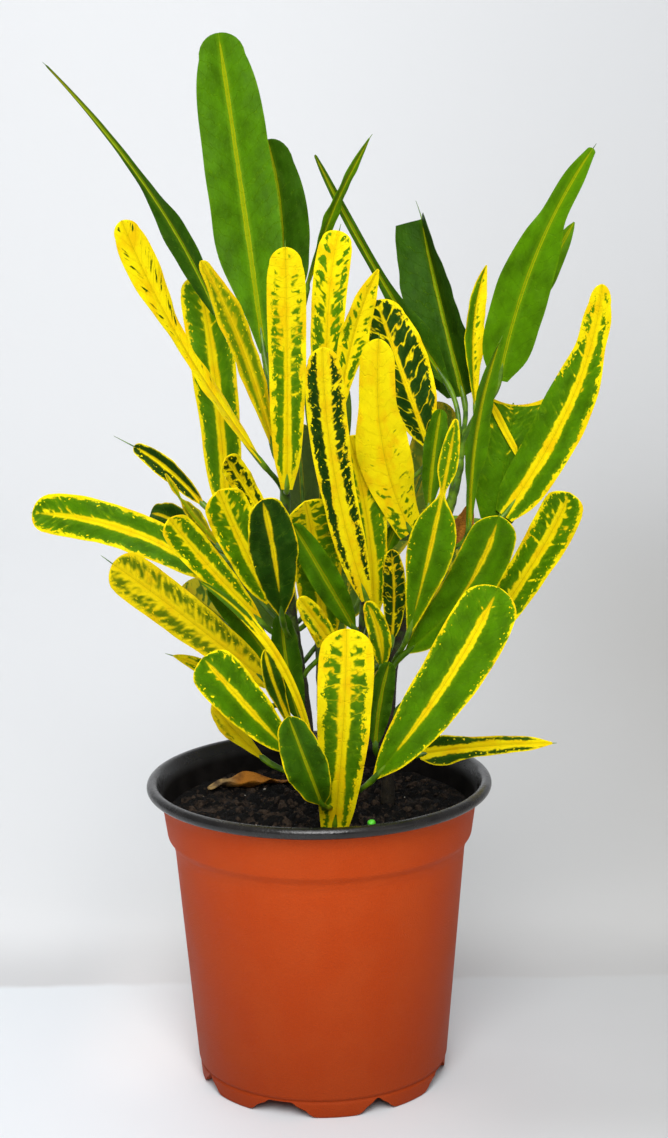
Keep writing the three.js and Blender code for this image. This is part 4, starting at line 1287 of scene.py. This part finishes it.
class CROTON_OT_blades(bpy.types.Operator):
    """Lay out the blades of every stem, waved and folded, each with its own variegation"""

    bl_idname = "croton.blades"
    bl_label = "Leaf blades"

    def execute(self, context):
        settings = context.scene.croton_leaves
        finishes = (leaf_material("leaf_upper_face", settings, 0, 0.45, 0.09),
                    leaf_material("leaf_underside", settings, 0.2, 0.6, 0.12),
                    dry_material("withered_leaf", settings))
        for name, stem in STEMS.items():
            points, faces, slots = [], [], []
            values = [[] for label in LEAF_VALUES]
            for number, leaf in enumerate(stem.leaves):
                top, under, found = blade_grids(leaf, number, settings)
                more, more_faces, upper = closed_sheet(top, under)
                start = len(points)
                points += more
                faces += [[start + k for k in face] for face in more_faces]
                dry = leaf.look == "withered"
                slots += [2 if dry else 0 if n < upper else 1 for n in range(len(more_faces))]
                for target, more_values in zip(values, found):
                    target += more_values
            mesh = mesh_from(f"leafy_stem_{name}_blades", points, faces, finishes, slots)
            for label, found in zip(LEAF_VALUES, values):
                put_attribute(mesh, label.lower(), "FLOAT_VECTOR", found)
            mesh.set_sharp_from_angle(angle=SHARP_EDGE)
            settle(new_object(mesh.name, mesh), "foliage", f"leafy_stem_{name}")
        return {"FINISHED"}


def trunk_line(line):
    """The stem itself, knuckled and tapered, with green at its top."""
    top = line[-1][2]
    for k, point in enumerate(line):
        share = stem_share(line, point)
        knuckle = 1 + 0.05 * math.sin(1.9 * k) + 0.04 * math.sin(3.1 * k + 1)
        end = min(1.0, (top - point[2]) / 5 + 0.25)
        yield point, STEM_RADIUS * (1 - 0.3 * share) * knuckle * end, 1.15 - 0.75 * share


def stem_share(line, point):
    """How far up a stem above the soil a point is, from 0 to 1."""
    return max(0.0, (point[2] - SOIL_LEVEL) / max(line[-1][2] - SOIL_LEVEL, 1))


def petiole_line(line, leaf, spine, radius):
    """A leaf's stalk, swollen where it leaves the stem and where it meets the blade."""
    start = min(line, key=lambda p: abs(p[2] - leaf.joint))
    share = stem_share(line, start)
    to = spine.point(0) + spine.tangent(0) * 1.2
    reach = np.linalg.norm(to - start) * 0.4
    pulls = start + np.array((0, 0, reach)), to - spine.tangent(0) * reach
    for k, point in enumerate(bezier(start, *pulls, to, PETIOLE_STEPS)):
        swell = 1.45 - 0.45 * min(1, k / 4) + (0.2 if k > 11 else 0)
        yield point, radius * swell, max(0.0, (0.9 - 0.5 * share) * (1 - k / 5))


def midrib_line(leaf, at, radius):
    """The raised midrib under a blade."""
    slim = min(1.0, leaf.width / 16)
    for k in range(0 if leaf.joint is None else 1, MIDRIB_STEPS + 1):
        t = 0.02 + 0.9 * k / MIDRIB_STEPS
        point, _, normal, _, _ = at(t)
        r = radius * slim * (1 - t) ** 0.7 * 0.8 + 0.16
        yield point - normal * (0.3 + 0.35 * r), r, 0.0


def hair_line(leaf, spine, at):
    """The hair at a blade's tip."""
    point, _, normal, _, _ = at(0.97)
    reach = 0.03 * spine.span() + leaf.hair
    for u in (0, 0.25, 0.5, 0.75, 1):
        curled = point + spine.tangent(1.0) * reach * u + normal * 0.15 * leaf.hair * u * u
        yield curled, 0.32 * (1 - 0.75 * u), 0.0


def stalk_lines(stem, radius):
    """Lines of (point, radius, bark): a stem, its petioles with their midribs, and the hairs at the tips."""
    line = stem_line(stem.line)
    lines = [list(trunk_line(line))]
    for leaf in stem.leaves:
        spine, _, at = blade_frame(leaf)
        petiole = [] if leaf.joint is None else list(petiole_line(line, leaf, spine, radius))
        lines.append(petiole + list(midrib_line(leaf, at, radius)))
        if leaf.hair:
            lines.append(list(hair_line(leaf, spine, at)))
    return lines


class CROTON_OT_stalks(bpy.types.Operator):
    """Grow the stems, petioles, raised midribs and tip hairs"""

    bl_idname = "croton.stalks"
    bl_label = "Stems and petioles"

    def execute(self, context):
        settings = context.scene.croton_leaves
        tree, skin = stalk_tree(), stalk_material(settings)
        for name, stem in STEMS.items():
            points, edges, radii, bark = [], [], [], []
            for line in stalk_lines(stem, settings.petiole / MM):
                start = len(points)
                for point, radius, old in line:
                    points.append(tuple(float(c) * MM for c in point))
                    radii.append(radius * MM)
                    bark.append(old)
                edges += [(k, k + 1) for k in range(start, len(points) - 1)]
            mesh = bpy.data.meshes.new("lines")
            mesh.from_pydata(points, edges, [])
            put_attribute(mesh, "stalk_radius", "FLOAT", radii)
            put_attribute(mesh, "bark", "FLOAT", bark)
            made = grown(new_object("lines", mesh), f"leafy_stem_{name}_stalks", tree,
                         Sides=STALK_SIDES, Thickness=1.0, Material=skin)
            settle(made, "foliage", f"leafy_stem_{name}")
        return {"FINISHED"}


class CROTON_OT_fallen_leaf(bpy.types.Operator):
    """Lay the dry leaf on the soil, with its sides curled up"""

    bl_idname = "croton.fallen_leaf"
    bl_label = "Fallen leaf"

    def execute(self, context):
        settings = context.scene.croton_leaves
        clods = context.scene.croton_soil.roughness / MM
        spine = Arch(*((*FALLEN[key], 0) for key in ("base", "mid", "tip")))
        widest, thin = FALLEN["width"] / 2, FALLEN["thickness"] / 2
        top, under = [], []
        for t in [k / 40 for k in range(40)] + [0.985, 0.995, 0.9985]:
            across = unit(np.cross(spine.tangent(t), (0, 0, 1)))
            end = math.sqrt(max(0.02, 1 - max(0, (t - 0.96) / 0.04) ** 2))
            half = widest * smooth(SHAPES["oval"], t) * end
            upper_row, lower_row = [], []
            for s in np.linspace(-1, 1, 13):
                x, y, _ = spine.point(t) + across * s * half
                share = abs(s) * half / widest
                lift = (1.5 + FALLEN["curl"] * share ** 2 + 0.35 * math.sin(9 * t + 3 * s)
                        + 0.25 * math.sin(23 * t) * s)
                height = max(soil_top(x, y) + lift, soil_surface(x, y, clods) + 0.3)
                upper_row.append(np.array((x, y, height + thin)))
                lower_row.append(np.array((x, y, height - thin)))
            top.append(upper_row)
            under.append(lower_row)
        points, faces, _ = closed_sheet(top, under)
        dry = dry_material("dry_leaf", settings, 0.007, -0.036)
        mesh = mesh_from("fallen_dry_leaf", points, faces, (dry,))
        mesh.set_sharp_from_angle(angle=SHARP_EDGE)
        settle(new_object("fallen_dry_leaf", mesh), "dry_leaf", "fallen_leaf")
        return {"FINISHED"}


# The stage

def soft_lamp(name, at, toward, power, tint):
    """A round lamp a metre across, with its power in watts."""
    lamp = bpy.data.lights.new(name, "AREA")
    lamp.shape, lamp.size, lamp.energy, lamp.color = "DISK", 1.0, power, tint
    obj = new_object(name, lamp)
    obj.location = at
    obj.rotation_euler = (Vector(toward) - Vector(at)).to_track_quat("-Z", "Y").to_euler()


def camera_turn(pitch, yaw, roll):
    """The turn of a camera that looks down by pitch, to the right by yaw and is tilted by roll."""
    pitch, yaw, roll = (math.radians(angle) for angle in (pitch, yaw, roll))
    ahead = Vector((math.sin(yaw) * math.cos(pitch), math.cos(yaw) * math.cos(pitch), -math.sin(pitch)))
    right = Vector((math.cos(yaw), -math.sin(yaw), 0))
    up = right.cross(ahead)
    tilted = right * math.cos(roll) + up * math.sin(roll)
    upright = up * math.cos(roll) - right * math.sin(roll)
    return Matrix((tilted, upright, -ahead)).transposed().to_4x4()


class CROTON_OT_stage(bpy.types.Operator):
    """Set the pale sweep, the soft lamps and the camera"""

    bl_idname = "croton.stage"
    bl_label = "Stage"

    def execute(self, context):
        settings = context.scene.croton_stage
        bend, radius, side = SWEEP["bend"], SWEEP["radius"], SWEEP["width"] / 2
        profile = [(y, 0.0) for y in (SWEEP["front"], -0.6, 0.0, 0.3, bend)]
        profile += [(bend + radius * math.sin(a), radius - radius * math.cos(a))
                    for a in np.linspace(0.1, math.pi / 2, 16)]
        profile += [(bend + radius, SWEEP["top"])]
        points = [(x / MM, y / MM, z / MM) for y, z in profile for x in (-side, side)]
        faces = [[2 * k, 2 * k + 1, 2 * k + 3, 2 * k + 2] for k in range(len(profile) - 1)]
        sweep = new_object("sweep", mesh_from("sweep", points, faces, (floor_material(settings),)))

        world = bpy.data.worlds.new("soft_room")
        world.use_nodes = True
        sky = world.node_tree.nodes["Background"]
        sky.inputs["Color"].default_value = SKY["tint"]
        sky.inputs["Strength"].default_value = SKY["strength"] * settings.brightness
        context.scene.world = world
        for name, (at, toward, power, tint) in LAMPS.items():
            soft_lamp(name, at, toward, power * settings.brightness, tint)
        context.scene.view_settings.view_transform = "Standard"

        lens = bpy.data.cameras.new("camera")
        lens.lens, lens.sensor_width, lens.clip_start = settings.lens, 36, 0.01
        camera = new_object("camera", lens)
        camera.matrix_world = Matrix.Translation(Vector(EYE) * MM) @ camera_turn(**CAMERA_TURN)
        context.scene.camera = camera
        return {"FINISHED"}


# The add-on

SETTINGS = {
    "croton_pot": CrotonPotSettings,
    "croton_soil": CrotonSoilSettings,
    "croton_leaves": CrotonLeafSettings,
    "croton_stage": CrotonStageSettings,
}
OPERATORS = (CROTON_OT_stage, CROTON_OT_pot, CROTON_OT_soil, CROTON_OT_crumbs, CROTON_OT_fallen_leaf,
             CROTON_OT_blades, CROTON_OT_stalks)


class CROTON_PT_panel(bpy.types.Panel):
    """The steps that make the plant, and their settings"""

    bl_idname = "CROTON_PT_panel"
    bl_label = "Potted croton"
    bl_space_type = "VIEW_3D"
    bl_region_type = "UI"
    bl_category = "Croton"

    def draw(self, context):
        for operator in OPERATORS:
            self.layout.operator(operator.bl_idname)
        for name, kind in SETTINGS.items():
            box = self.layout.box()
            box.label(text=name.replace("_", " ").capitalize())
            for key in kind.__annotations__:
                box.prop(getattr(context.scene, name), key)


CLASSES = (*SETTINGS.values(), *OPERATORS, CROTON_PT_panel)


def register():
    for item in CLASSES:
        bpy.utils.register_class(item)
    for name, kind in SETTINGS.items():
        setattr(bpy.types.Scene, name, PointerProperty(type=kind))


def unregister():
    for name in SETTINGS:
        delattr(bpy.types.Scene, name)
    for item in reversed(CLASSES):
        bpy.utils.unregister_class(item)


def main():
    register()
    bpy.ops.croton.stage()
    bpy.ops.croton.pot()
    bpy.ops.croton.soil()
    bpy.ops.croton.crumbs()
    bpy.ops.croton.fallen_leaf()
    bpy.ops.croton.blades()
    bpy.ops.croton.stalks()


if __name__ == "__main__":
    main()
